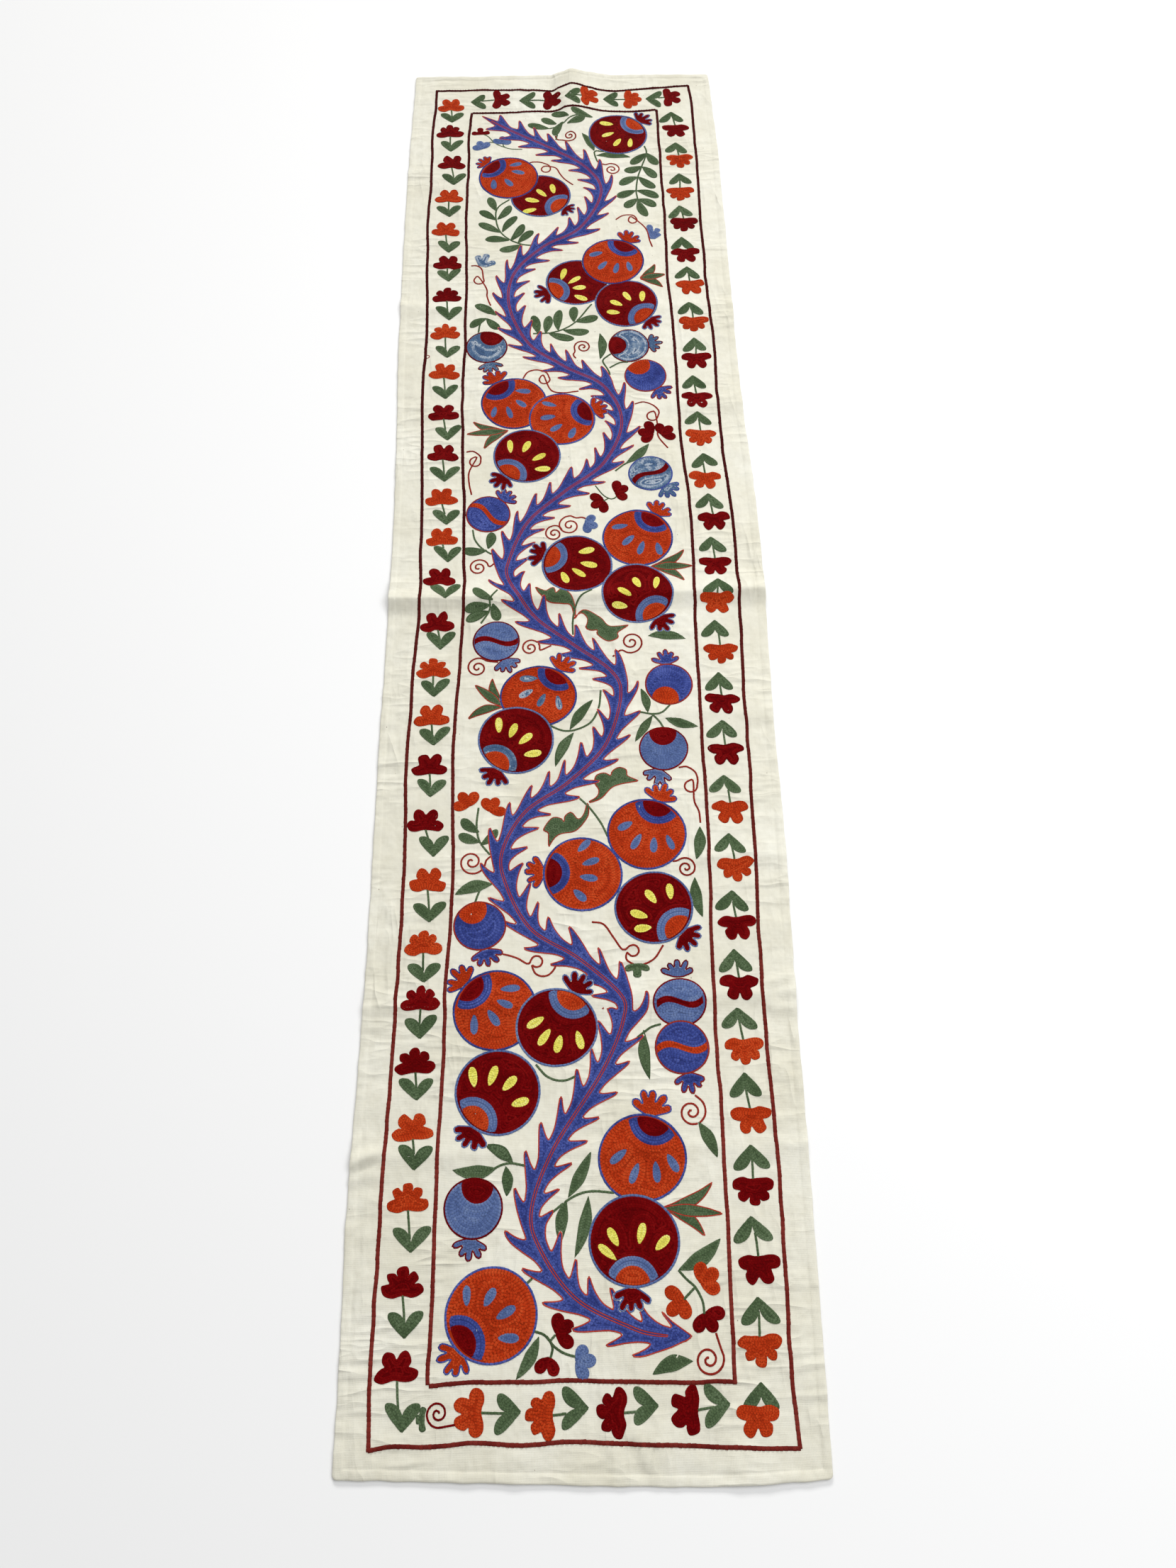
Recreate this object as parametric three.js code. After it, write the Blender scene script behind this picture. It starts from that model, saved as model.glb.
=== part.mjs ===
// Embroidered cotton runner lying flat: one closed sheet with its turned hem,
// the slightly wandering outline of hand-sewn cloth, the crosswise folding
// creases and the short lengthwise buckle at the far end.
// Millimetres, +Z up. +Y runs along the cloth to its far end, +X to the right.
import * as THREE from 'three';

// ---- driving dimensions ----
const THICKNESS = 1.5;          // ground cloth with its stitching
const END_BLEND = 110;          // length over which the rows take on the end's line
const CENTRE = { x: 4.743, y: -1.954 };  // middle of the outline, moved to the origin
const BASE_STEP = 92;           // greatest gap between plain rows

// Sides of the cloth: where each long edge runs at a station along the length.
const SIDES = [
  { y: 1048, left: -250.0, right: 249.6 },
  { y: 950, left: -252.0, right: 252.6 },
  { y: 850, left: -254.0, right: 255.2 },
  { y: 600, left: -254.0, right: 255.6 },
  { y: 400, left: -252.0, right: 255.6 },
  { y: 300, left: -248.5, right: 257.4 },
  { y: 200, left: -246.0, right: 261.9 },
  { y: 100, left: -245.0, right: 263.3 },
  { y: 0, left: -244.6, right: 263.7 },
  { y: -100, left: -245.0, right: 261.9 },
  { y: -200, left: -246.7, right: 259.1 },
  { y: -350, left: -246.3, right: 260.0 },
  { y: -550, left: -247.0, right: 255.6 },
  { y: -700, left: -250.4, right: 253.7 },
  { y: -800, left: -252.2, right: 252.5 },
  { y: -900, left: -250.8, right: 250.6 },
  { y: -1050, left: -250.0, right: 248.5 },
];

// Ends of the cloth: where the short edges run at a station across the width.
const ENDS = [
  { x: -254, far: 1048.1, near: -1039.2 },
  { x: -150, far: 1047.4, near: -1043.5 },
  { x: -50, far: 1048.5, near: -1047.2 },
  { x: 50, far: 1047.0, near: -1050.9 },
  { x: 150, far: 1044.8, near: -1052.4 },
  { x: 255, far: 1043.7, near: -1048.0 },
];

// Crosswise folding creases, far to near: the line of the crest at the left
// edge, middle and right edge, its height there, and how far each flank reaches.
const CREASES = [
  { name: 'upper', yLeft: 515, yMid: 513, yRight: 511, hLeft: 3.0, hMid: 1.6, hRight: 2.6, nearFlank: 26, farFlank: 26 },
  { name: 'slanted', yLeft: 306, yMid: 315, yRight: 322, hLeft: 0.8, hMid: 1.4, hRight: 2.8, nearFlank: 24, farFlank: 28 },
  { name: 'centre', yLeft: -11, yMid: -9, yRight: -5, hLeft: 10.0, hMid: 6.5, hRight: 9.0, nearFlank: 28, farFlank: 40 },
  { name: 'third', yLeft: -190, yMid: -189, yRight: -186, hLeft: 0.7, hMid: 1.0, hRight: 2.2, nearFlank: 22, farFlank: 24 },
  { name: 'fourth', yLeft: -388, yMid: -387, yRight: -384, hLeft: 0.9, hMid: 1.0, hRight: 2.2, nearFlank: 22, farFlank: 24 },
  { name: 'fifth', yLeft: -566, yMid: -563, yRight: -556, hLeft: 4.0, hMid: 2.2, hRight: 4.2, nearFlank: 26, farFlank: 30 },
  { name: 'sixth', yLeft: -731, yMid: -729, yRight: -726, hLeft: 3.2, hMid: 1.4, hRight: 1.4, nearFlank: 24, farFlank: 26 },
];

// Lengthwise buckle that lifts the far edge and dies out along the cloth.
const BUCKLE = {
  crestX: 15, leftFlank: 38, rightFlank: 78, height: 12, endY: 832, fullY: 1006, farY: 1048,
};

// Columns at which the sheet's facets turn, closer together at the buckle.
const COLUMNS = [
  { name: 'left edge', x: -250 }, { name: 'left margin', x: -212 },
  { name: 'left border', x: -154 }, { name: 'left field', x: -88 },
  { name: 'before buckle', x: -23 }, { name: 'left foot', x: -10 },
  { name: 'left flank', x: 2 }, { name: 'crest', x: 15 },
  { name: 'right flank', x: 36 }, { name: 'right slope', x: 60 },
  { name: 'right foot', x: 93 }, { name: 'right border', x: 160 },
  { name: 'right margin', x: 218 }, { name: 'right edge', x: 250 },
];

// ---- smooth interpolation in a table with named columns ----
function along(table, key, value, at) {
  const rows = [...table].sort((a, b) => a[key] - b[key]);
  const last = rows.length - 1;
  if (at <= rows[0][key]) return rows[0][value];
  if (at >= rows[last][key]) return rows[last][value];
  let i = 0;
  while (rows[i + 1][key] < at) i += 1;
  const slope = (j) => {
    const a = rows[Math.max(j - 1, 0)];
    const b = rows[Math.min(j + 1, last)];
    return (b[value] - a[value]) / (b[key] - a[key]);
  };
  const w = rows[i + 1][key] - rows[i][key];
  const t = (at - rows[i][key]) / w;
  const t2 = t * t;
  const t3 = t2 * t;
  return (2 * t3 - 3 * t2 + 1) * rows[i][value] + (t3 - 2 * t2 + t) * w * slope(i)
    + (3 * t2 - 2 * t3) * rows[i + 1][value] + (t3 - t2) * w * slope(i + 1);
}

// A curve through three values at the left edge, the middle and the right edge.
function across(left, mid, right, x) {
  const s = THREE.MathUtils.clamp(x / 250, -1.03, 1.03);
  return mid + (right - left) / 2 * s + ((left + right) / 2 - mid) * s * s;
}

// A soft ridge: rounded at its crest, meeting the flat at its foot.
const ridge = (s) => (Math.abs(s) >= 1 ? 0 : (1 - Math.abs(s) ** 1.3) ** 2);

const crestOf = (c, x) => across(c.yLeft, c.yMid, c.yRight, x);

function height(x, y) {
  let h = 0;
  for (const c of CREASES) {
    const d = y - crestOf(c, x);
    h += across(c.hLeft, c.hMid, c.hRight, x) * ridge(d / (d > 0 ? c.farFlank : c.nearFlank));
  }
  const d = x - BUCKLE.crestX;
  h += BUCKLE.height * THREE.MathUtils.smoothstep(y, BUCKLE.endY, BUCKLE.fullY)
    * ridge(d / (d > 0 ? BUCKLE.rightFlank : BUCKLE.leftFlank));
  return h;
}

// ---- rows: the ends, the feet, flanks and crests of the creases, plain rows between ----
function rowLines() {
  const lines = [{ at: 1048, line: () => 1048 }, { at: -1048, line: () => -1048 }];
  for (const c of CREASES) {
    const shares = c.hLeft > 5 ? [-1, -0.62, -0.34, -0.14, 0, 0.14, 0.34, 0.62, 1] : [-1, -0.5, 0, 0.5, 1];
    for (const s of shares) {
      const off = s * (s > 0 ? c.farFlank : c.nearFlank);
      lines.push({ at: c.yMid + off, line: (x) => crestOf(c, x) + off });
    }
  }
  for (let y = BUCKLE.endY; y < BUCKLE.farY - 10; y += 34) lines.push({ at: y, line: () => y });
  lines.sort((a, b) => a.at - b.at);
  const full = [lines[0]];
  for (const next of lines.slice(1)) {
    const from = full[full.length - 1].at;
    const pieces = Math.ceil((next.at - from) / BASE_STEP);
    for (let k = 1; k < pieces; k += 1) {
      const y = from + (next.at - from) * k / pieces;
      full.push({ at: y, line: () => y });
    }
    full.push(next);
  }
  return full;
}

// Where a row and a column cross on the cloth as it lies.
function place(line, columnX) {
  const plain = line.line(columnX);
  const y0 = line.at >= 1048 ? 1048 : line.at <= -1048 ? -1048 : plain;
  const toFar = THREE.MathUtils.smoothstep(y0, 1048 - END_BLEND, 1048);
  const toNear = THREE.MathUtils.smoothstep(-y0, 1048 - END_BLEND, 1048);
  const y = y0 + (along(ENDS, 'x', 'far', columnX) - 1048) * toFar
    + (along(ENDS, 'x', 'near', columnX) + 1048) * toNear;
  const left = along(SIDES, 'y', 'left', y);
  const right = along(SIDES, 'y', 'right', y);
  // inner columns keep their place, and the outer ones follow the edges
  const s = columnX / 250;
  const edge = s < 0 ? left + 250 : right - 250;
  return { x: columnX + edge * Math.abs(s) ** 3, y };
}

function sheet() {
  const rows = rowLines();
  const cols = COLUMNS.map((c) => c.x);
  const top = [];
  const bottom = [];
  for (const row of rows) {
    for (const c of cols) {
      const p = place(row, c);
      const h = height(p.x, p.y);
      bottom.push(p.x - CENTRE.x, p.y - CENTRE.y, h);
      top.push(p.x - CENTRE.x, p.y - CENTRE.y, h + THICKNESS);
    }
  }
  const n = cols.length;
  const m = rows.length;
  const lift = n * m;
  const at = (i, j) => i * n + j;
  const index = [];
  for (let i = 0; i < m - 1; i += 1) {
    for (let j = 0; j < n - 1; j += 1) {
      const a = at(i, j);
      const b = at(i, j + 1);
      const c = at(i + 1, j + 1);
      const d = at(i + 1, j);
      index.push(a, c, b, a, d, c);                                             // underside
      index.push(lift + a, lift + b, lift + c, lift + a, lift + c, lift + d);   // face
    }
  }
  const wall = (a, b) => index.push(a, b, lift + b, a, lift + b, lift + a);
  for (let j = 0; j < n - 1; j += 1) {
    wall(at(0, j), at(0, j + 1));
    wall(at(m - 1, j + 1), at(m - 1, j));
  }
  for (let i = 0; i < m - 1; i += 1) {
    wall(at(i + 1, 0), at(i, 0));
    wall(at(i, n - 1), at(i + 1, n - 1));
  }
  const geometry = new THREE.BufferGeometry();
  geometry.setAttribute('position', new THREE.Float32BufferAttribute([...bottom, ...top], 3));
  geometry.setIndex(index);
  geometry.computeVertexNormals();
  return geometry;
}

const cloth = new THREE.Mesh(
  sheet(),
  new THREE.MeshStandardMaterial({ color: new THREE.Color('rgb(228, 222, 204)'), roughness: 0.92, metalness: 0 }),
);
cloth.name = 'cloth';

const runner = new THREE.Group();
runner.add(cloth);

export default runner;
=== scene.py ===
"""Embroidered cotton runner lying flat: the cloth with its turned hem, folding creases and puckers, and the chain stitch worked on it.

All drawing is in millimetres on the cloth as it lies, +Y to its far end, and is moved to the frame's origin and metres when the meshes are made."""

import math

import bpy
import numpy as np
from mathutils import Matrix, Vector
from mathutils.geometry import delaunay_2d_cdt


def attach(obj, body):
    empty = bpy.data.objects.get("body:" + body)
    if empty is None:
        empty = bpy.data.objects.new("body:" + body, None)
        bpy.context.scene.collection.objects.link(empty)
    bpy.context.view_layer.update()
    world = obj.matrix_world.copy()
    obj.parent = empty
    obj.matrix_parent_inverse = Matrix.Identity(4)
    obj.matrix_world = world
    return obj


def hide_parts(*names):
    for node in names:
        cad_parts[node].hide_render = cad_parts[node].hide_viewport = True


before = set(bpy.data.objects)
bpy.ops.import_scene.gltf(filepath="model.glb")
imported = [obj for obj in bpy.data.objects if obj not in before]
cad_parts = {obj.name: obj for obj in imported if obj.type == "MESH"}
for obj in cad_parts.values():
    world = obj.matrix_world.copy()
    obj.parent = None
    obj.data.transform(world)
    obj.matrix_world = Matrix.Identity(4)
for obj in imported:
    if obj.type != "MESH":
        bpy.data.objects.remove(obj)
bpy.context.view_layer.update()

CENTRE = (4.743, -1.954)
THICKNESS = 1.5
PITCH = 2.32  # between rows of stitches
STITCH = 3.42
DICE = np.random.default_rng(11)

# ------------------------------------------------------------------ the cloth's shape
SIDES = (  # y, left edge, right edge
    (1048, -250.0, 249.6),
    (950, -252.0, 252.6),
    (850, -254.0, 255.2),
    (600, -254.0, 255.6),
    (400, -252.0, 255.6),
    (300, -248.5, 257.4),
    (200, -246.0, 261.9),
    (100, -245.0, 263.3),
    (0, -244.6, 263.7),
    (-100, -245.0, 261.9),
    (-200, -246.7, 259.1),
    (-350, -246.3, 260.0),
    (-550, -247.0, 255.6),
    (-700, -250.4, 253.7),
    (-800, -252.2, 252.5),
    (-900, -250.8, 250.6),
    (-1050, -250.0, 248.5),
)
ENDS = (  # x, far edge, near edge
    (-254, 1048.1, -1039.2),
    (-150, 1047.4, -1043.5),
    (-50, 1048.5, -1047.2),
    (50, 1047.0, -1050.9),
    (150, 1044.8, -1052.4),
    (255, 1043.7, -1048.0),
)
CREASES = (  # crest at the left edge, middle, right edge; heights there; reach of the near and the far flank
    ((515, 513, 511), (3.0, 1.6, 2.6), 26, 26),
    ((306, 315, 322), (0.8, 1.4, 2.8), 24, 28),
    ((-11, -9, -5), (10.0, 6.5, 9.0), 28, 40),
    ((-190, -189, -186), (0.7, 1.0, 2.2), 22, 24),
    ((-388, -387, -384), (0.9, 1.0, 2.2), 22, 24),
    ((-566, -563, -556), (4.0, 2.2, 4.2), 26, 30),
    ((-731, -729, -726), (3.2, 1.4, 1.4), 24, 26),
)
BUCKLE = {"crest": 15, "left": 38, "right": 78, "height": 12, "end": 832, "full": 1006}
WRINKLES = (  # from x, y to x, y; height; half width
    (50, -998, 76, -1054, 3.0, 5.5),
    (66, -1002, 94, -1054, 2.2, 5),
    (28, -1010, 38, -1054, 1.1, 6),
    (-70, -1015, -74, -1050, 0.9, 6),
    (150, -1020, 158, -1054, 1.0, 6),
    (-150, -1018, -152, -1046, 0.8, 6),
    (-254, -742, -214, -722, 3.0, 5.5),
    (-254, -757, -220, -748, 2.2, 5),
    (-252, -716, -226, -707, 1.2, 5),
    (-250, -585, -218, -592, 1.4, 6),
    (-250, -545, -212, -548, 1.2, 6),
    (218, -545, 258, -534, 2.0, 6),
    (222, -572, 258, -578, 1.6, 6),
    (214, -528, 254, -521, 1.0, 5),
    (-256, 870, -222, 854, 1.3, 4),
    (-12, 1050, -3, 962, 3.0, 5),
    (-2, 1050, 7, 930, 2.0, 4.5),
    (52, 1050, 47, 985, 1.1, 6),
    (-250, 524, -214, 520, 1.0, 5),
    (216, 330, 258, 338, 1.2, 6),
    (-248, 14, -216, 18, 1.3, 6),
    (225, 16, 263, 20, 1.2, 6),
    (-110, 1018, -113, 1050, 0.8, 6),
    (130, 1016, 133, 1048, 0.8, 6),
    (-200, 1016, -202, 1050, 0.7, 6),
    (-242, -1027, 240, -1030, 0.5, 7),
)


def hermite(table, column, at):
    rows = sorted(table)
    xs = np.array([r[0] for r in rows], float)
    ys = np.array([r[column] for r in rows], float)
    at = np.clip(np.asarray(at, float), xs[0], xs[-1])
    last = len(xs) - 1
    slopes = np.array(
        [
            (ys[min(j + 1, last)] - ys[max(j - 1, 0)])
            / (xs[min(j + 1, last)] - xs[max(j - 1, 0)])
            for j in range(last + 1)
        ]
    )
    i = np.clip(np.searchsorted(xs, at, side="right") - 1, 0, last - 1)
    w = xs[i + 1] - xs[i]
    t = (at - xs[i]) / w
    t2, t3 = t * t, t * t * t
    return (
        (2 * t3 - 3 * t2 + 1) * ys[i]
        + (t3 - 2 * t2 + t) * w * slopes[i]
        + (3 * t2 - 2 * t3) * ys[i + 1]
        + (t3 - t2) * w * slopes[i + 1]
    )


def across(three, x):
    left, mid, right = three
    s = np.clip(x / 250, -1.03, 1.03)
    return mid + (right - left) / 2 * s + ((left + right) / 2 - mid) * s * s


def ridge(s):
    s = np.minimum(np.abs(s), 1)
    return (1 - np.sqrt(s * s + 0.004) ** 1.3 + 0.0276 * (1 - s)).clip(0) ** 2 * (s < 1)


def step01(t):
    t = np.clip(t, 0, 1)
    return t * t * (3 - 2 * t)


def lump(x, y, seed):
    """Smooth random heights from -1 to 1, a unit apart."""
    xi, yi = np.floor(x), np.floor(y)
    fx, fy = step01(x - xi), step01(y - yi)

    def dot(i, j):
        h = np.sin((xi + i) * 127.1 + (yi + j) * 311.7 + seed * 74.7) * 43758.5453
        return (h - np.floor(h)) * 2 - 1

    low = dot(0, 0) * (1 - fx) + dot(1, 0) * fx
    high = dot(0, 1) * (1 - fx) + dot(1, 1) * fx
    return low * (1 - fy) + high * fy


def folds(x, y):
    h = np.zeros_like(x)
    for crest, high, near, far in CREASES:
        d = y - across(crest, x)
        h += across(high, x) * ridge(d / np.where(d > 0, far, near))
    d = x - BUCKLE["crest"]
    h += (
        BUCKLE["height"]
        * step01((y - BUCKLE["end"]) / (BUCKLE["full"] - BUCKLE["end"]))
        * ridge(d / np.where(d > 0, BUCKLE["right"], BUCKLE["left"]))
    )
    return h


def puckers(x, y):
    edge = np.minimum(250 - np.abs(x - 4), 1048 - np.abs(y))
    margin = 1 - step01((edge - 25) / 30)

    def soft(value):
        return (1.05 - np.sqrt(value * value + 0.012)).clip(0) ** 3

    p = 0.45 * (1 + lump(x / 74, y / 95, 1))
    gate = step01(0.5 + 1.4 * lump(x / 60, y / 70, 2))
    warp = 6 * lump(x / 40, y / 60, 3)
    p += 0.85 * gate * soft(lump((x + warp) / 15, y / 46, 4))
    gate = step01(0.4 + 1.5 * lump(x / 55, y / 48, 5))
    p += (0.5 + 0.9 * margin) * gate * soft(lump(x / 48, (y + warp) / 13, 6))
    gate = step01(0.3 + 1.5 * lump(x / 33, y / 41, 8))
    p += 0.75 * margin * gate * soft(lump((x + 0.5 * y) / 24, (y - 0.4 * x) / 14, 9))
    p += 0.16 * margin * (1 + lump(x / 13, y / 13, 7))
    for x0, y0, x1, y1, high, wide in WRINKLES:
        dx, dy = x1 - x0, y1 - y0
        long = math.hypot(dx, dy)
        t = ((x - x0) * dx + (y - y0) * dy) / long**2
        off = ((x - x0) * dy - (y - y0) * dx) / long + 1.6 * lump(t * 3, t * 0, x0)
        near = np.exp(-((off / wide) ** 2)) - 0.25 * np.exp(
            -(((off - 1.9 * wide) / wide) ** 2)
        )
        p += high * near.clip(-0.3) * step01(t * 4 + 0.6) * step01((1.02 - t) * 3)
    return p


def lie(x, y):
    """Height of the underside over the surface."""
    x, y = np.asarray(x, float), np.asarray(y, float)
    return np.maximum(folds(x, y) + puckers(x, y), 0.0)


def stations(limit, plain, dense):
    """From -limit to limit, in steps that shrink near the hems and where dense says."""
    hem = [0, 0.5, 1.3, 2.6, 5.0, 8.0, 9.2, 10.2, 11.4, 14.0]
    at, out = -limit + 14.0, [-limit + h for h in hem[:-1]]
    while at < limit - 14.0:
        out.append(at)
        at += dense(at) if dense else plain
    if limit - 14.0 - out[-1] < 0.3 * plain:
        out.pop()
    return np.array(out + [limit - h for h in hem[::-1]])


def row_step(y):
    if abs(y + 8) < 9:
        return 1.3
    if abs(y + 8) < 28:
        return 2.3
    if any(abs(y - c[0][1]) < 20 for c in CREASES):
        return 4.0
    return 5.4


def settle(cx, cy):
    """From the flat cloth to where its points lie: the ends and the sides wander a little."""
    to_far = step01((cy - 938) / 110)
    to_near = step01((-cy - 938) / 110)
    y = (
        cy
        + (hermite(ENDS, 1, cx) - 1048) * to_far
        + (hermite(ENDS, 2, cx) + 1048) * to_near
    )
    s = cx / 250
    shift = np.where(s < 0, hermite(SIDES, 1, y) + 250, hermite(SIDES, 2, y) - 250)
    return cx + shift * np.abs(s) ** 3, y


COLS = stations(250.0, 5.3, None)
ROWS_AT = stations(1048.0, 5.4, row_step)
FLAT_X, FLAT_Y = np.meshgrid(COLS, ROWS_AT)
NODES = lie(*settle(FLAT_X, FLAT_Y))


def surface(x, y):
    """Height of the sheet as it is built, so that the stitching lies close on it."""
    x, y = np.asarray(x, float), np.asarray(y, float)
    shape = x.shape
    x, y = x.ravel(), y.ravel()
    cx, cy = x.copy(), y.copy()
    for _ in range(3):
        gx, gy = settle(cx, cy)
        cx += x - gx
        cy += y - gy
    i = np.clip(np.searchsorted(ROWS_AT, cy) - 1, 0, len(ROWS_AT) - 2)
    j = np.clip(np.searchsorted(COLS, cx) - 1, 0, len(COLS) - 2)
    u = np.clip((cx - COLS[j]) / (COLS[j + 1] - COLS[j]), 0, 1)
    v = np.clip((cy - ROWS_AT[i]) / (ROWS_AT[i + 1] - ROWS_AT[i]), 0, 1)
    a, b, c, d = NODES[i, j], NODES[i, j + 1], NODES[i + 1, j + 1], NODES[i + 1, j]
    # the higher of the two ways in which a face can be cut
    one = np.where(u > v, a + (b - a) * u + (c - b) * v, a + (c - d) * u + (d - a) * v)
    two = np.where(
        u + v < 1,
        a + (b - a) * u + (d - a) * v,
        c + (d - c) * (1 - u) + (b - c) * (1 - v),
    )
    return np.maximum(one, two).reshape(shape)


def metres(x, y, z):
    return np.stack([(x - CENTRE[0]) / 1000, (y - CENTRE[1]) / 1000, z / 1000], -1)


# ------------------------------------------------------------------ small drawing tools
def srgb(r, g, b):
    return tuple(
        c / 12.92 if c <= 0.04045 else ((c + 0.055) / 1.055) ** 2.4
        for c in (r / 255, g / 255, b / 255)
    )


def open_spline(points, step=1.2):
    p = np.array([q[:2] for q in points], float)
    if len(p) < 3:
        n = max(2, int(math.ceil(np.hypot(*(p[-1] - p[0])) / step)) + 1)
        t = np.linspace(0, 1, n)[:, None]
        return p[0] * (1 - t) + p[-1] * t
    q = np.vstack([2 * p[0] - p[1], p, 2 * p[-1] - p[-2]])
    out = []
    for i in range(1, len(q) - 2):
        a, b, c, d = q[i - 1], q[i], q[i + 1], q[i + 2]
        n = max(2, int(math.ceil(np.hypot(*(c - b)) / step)))
        t = (np.arange(n) / n)[:, None]
        out.append(
            0.5
            * (
                2 * b
                + (c - a) * t
                + (2 * a - 5 * b + 4 * c - d) * t**2
                + (3 * b - a - 3 * c + d) * t**3
            )
        )
    out.append(p[-1:])
    return np.vstack(out)


def closed_spline(points, step=1.2):
    """points are x, y and, for a sharp corner, a third value that is true."""
    sharp = [i for i, q in enumerate(points) if len(q) > 2 and q[2]]
    if not sharp:
        n = len(points)
        ring = [points[(i - 2) % n] for i in range(n + 5)]
        dense = open_spline(ring, step)
        a = np.argmin(np.hypot(*(dense - np.array(points[0][:2])).T)[: len(dense) // 2])
        far = np.hypot(*(dense - np.array(points[0][:2])).T)
        far[: a + len(dense) // (2 * n) + 2] = 1e9
        return dense[a : int(np.argmin(far))]
    rolled = list(points[sharp[0] :]) + list(points[: sharp[0]])
    rolled.append(points[sharp[0]])
    out, run = [], [rolled[0]]
    for q in rolled[1:]:
        run.append(q)
        if len(q) > 2 and q[2]:
            out.append(open_spline(run, step)[:-1])
            run = [q]
    return np.vstack(out)


def turned(points, origin, degrees):
    """Local points (along, to the left[, sharp]) placed at origin, along the direction degrees from +X."""
    c, s = math.cos(math.radians(degrees)), math.sin(math.radians(degrees))
    return [
        (origin[0] + u[0] * c - u[1] * s, origin[1] + u[0] * s + u[1] * c, *u[2:])
        for u in points
    ]


def heading(a, b):
    return math.degrees(math.atan2(b[1] - a[1], b[0] - a[0]))


def ring(c, rx, ry=None, seed=0, n=64):
    ry = ry or rx
    t = np.linspace(0, 2 * math.pi, n, endpoint=False)
    k = 1 + 0.008 * np.sin(2 * t + seed) + 0.006 * np.sin(3 * t + 2.1 * seed)
    return np.stack([c[0] + rx * k * np.cos(t), c[1] + ry * k * np.sin(t)], 1)


def fan(base, degrees, lobes, valley, foot):
    """Lobed outline from base: lobes are (angle, length, half width, pointed), from right to left."""
    pts = [(0, -foot, True)]
    cut = []
    for one, two in zip(lobes, lobes[1:]):
        half_gap = math.radians(abs(two[0] - one[0]) / 2)
        cut.append(max(valley, 0.86 * min(one[2], two[2]) / math.sin(half_gap)))
    for i, (a, long, wide, pointed) in enumerate(lobes):
        c, s = math.cos(math.radians(a)), math.sin(math.radians(a))

        def at(u, v):
            return (u * c - v * s, u * s + v * c)

        near = [cut[k] for k in (i - 1, i) if 0 <= k < len(cut)]
        start = min(max(max(near) / long, 0.4), 0.72)
        if pointed:
            body = [(0.35, -1.0), (0.74, -0.72), (1.0, 0), (0.74, 0.72), (0.35, 1.0)]
        else:
            body = [(0.3, -0.92), (0.68, -0.98), (0.93, -0.6), (1.0, 0)]
            body += [(u, -v) for u, v in body[-2::-1]]
        for u, v in body:
            q = at((start + (1 - start) * u) * long, v * wide)
            pts.append((*q, True) if pointed and u == 1.0 else q)
        if i < len(lobes) - 1:
            b = math.radians((a + lobes[i + 1][0]) / 2)
            pts.append((cut[i] * math.cos(b), cut[i] * math.sin(b), True))
    pts.append((0, foot, True))
    return closed_spline(turned(pts, base, degrees), 1.0)


def leaf_outline(base, tip, wide, bend=0.0, blunt=False):
    long = math.hypot(tip[0] - base[0], tip[1] - base[1])
    if blunt:
        body = ((0.0, 0.14), (0.2, 0.56), (0.42, 0.9), (0.66, 1.0), (0.85, 0.8), (0.96, 0.42))
    else:
        body = ((0.0, 0.05), (0.2, 0.62), (0.42, 1.0), (0.68, 0.78), (0.88, 0.36))
    sway = [(t, bend * long * 4 * t * (1 - t)) for t, _ in body]
    low = [(t * long, s - wide / 2 * k) for (t, k), (_, s) in zip(body, sway)]
    high = [(t * long, s + wide / 2 * k) for (t, k), (_, s) in zip(body, sway)]
    low[0], high[0] = (*low[0], True), (*high[0], True)
    end = [(long, 0)] if blunt else [(long, 0, True)]
    return closed_spline(
        turned(low + end + high[::-1], base, heading(base, tip)), 1.0
    )


def drop(c, toward, long, wide):
    """Teardrop at c, its narrow end pointing to toward."""
    body = (
        (-0.5, 0.0),
        (-0.4, 0.68),
        (-0.16, 1.0),
        (0.16, 0.84),
        (0.38, 0.4),
    )
    pts = [(u * long, v * wide / 2) for u, v in body]
    pts += [(0.5 * long, 0, True)]
    pts += [(u * long, -v * wide / 2) for u, v in body[:0:-1]]
    return closed_spline(turned(pts, c, heading(c, toward)), 1.0)


def lens(c, r, centre, radius, n=72):
    """The part of a circle round centre that lies within the disc of c and r."""
    t = np.linspace(0, 2 * math.pi, n, endpoint=False)
    ux, uy = np.cos(t), np.sin(t)
    dx, dy = centre[0] - c[0], centre[1] - c[1]
    b = dx * ux + dy * uy
    reach = -b + np.sqrt(np.maximum(b * b - (dx * dx + dy * dy - r * r), 0))
    k = np.minimum(radius, reach)
    return np.stack([centre[0] + k * ux, centre[1] + k * uy], 1)


# ------------------------------------------------------------------ the design, in the order in which it lies
WORK = []


def fill(outline, thread, edge=None, edge_width=2.6, pitch=PITCH, stitch=STITCH, fat=1.0):
    WORK.append(
        {
            "outline": np.asarray(outline, float),
            "thread": thread,
            "edge": edge,
            "edge_width": edge_width,
            "pitch": pitch,
            "stitch": stitch,
            "fat": fat,
        }
    )


def line(points, thread, width=2.2, stitch=3.2, high=1.0, smooth=True):
    pts = open_spline(points) if smooth else np.asarray(points, float)
    WORK.append(
        {"line": pts, "thread": thread, "width": width, "stitch": stitch, "fat": high}
    )


def stem(*points, width=2.9):
    line(points, "green", width, 3.4)


def jig(k=1.0):
    return float(DICE.uniform(-k, k))


def leaf(base, tip, wide=None, bend=None, thread="green", edge=None, blunt=False):
    long = math.hypot(tip[0] - base[0], tip[1] - base[1])
    wide = 1.12 * (wide or 0.27 * long + 3)
    bend = jig(0.07) if bend is None else bend
    fill(
        leaf_outline(base, tip, wide, bend, blunt),
        thread,
        edge,
        1.5,
        pitch=2.0,
        stitch=3.0,
    )


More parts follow.
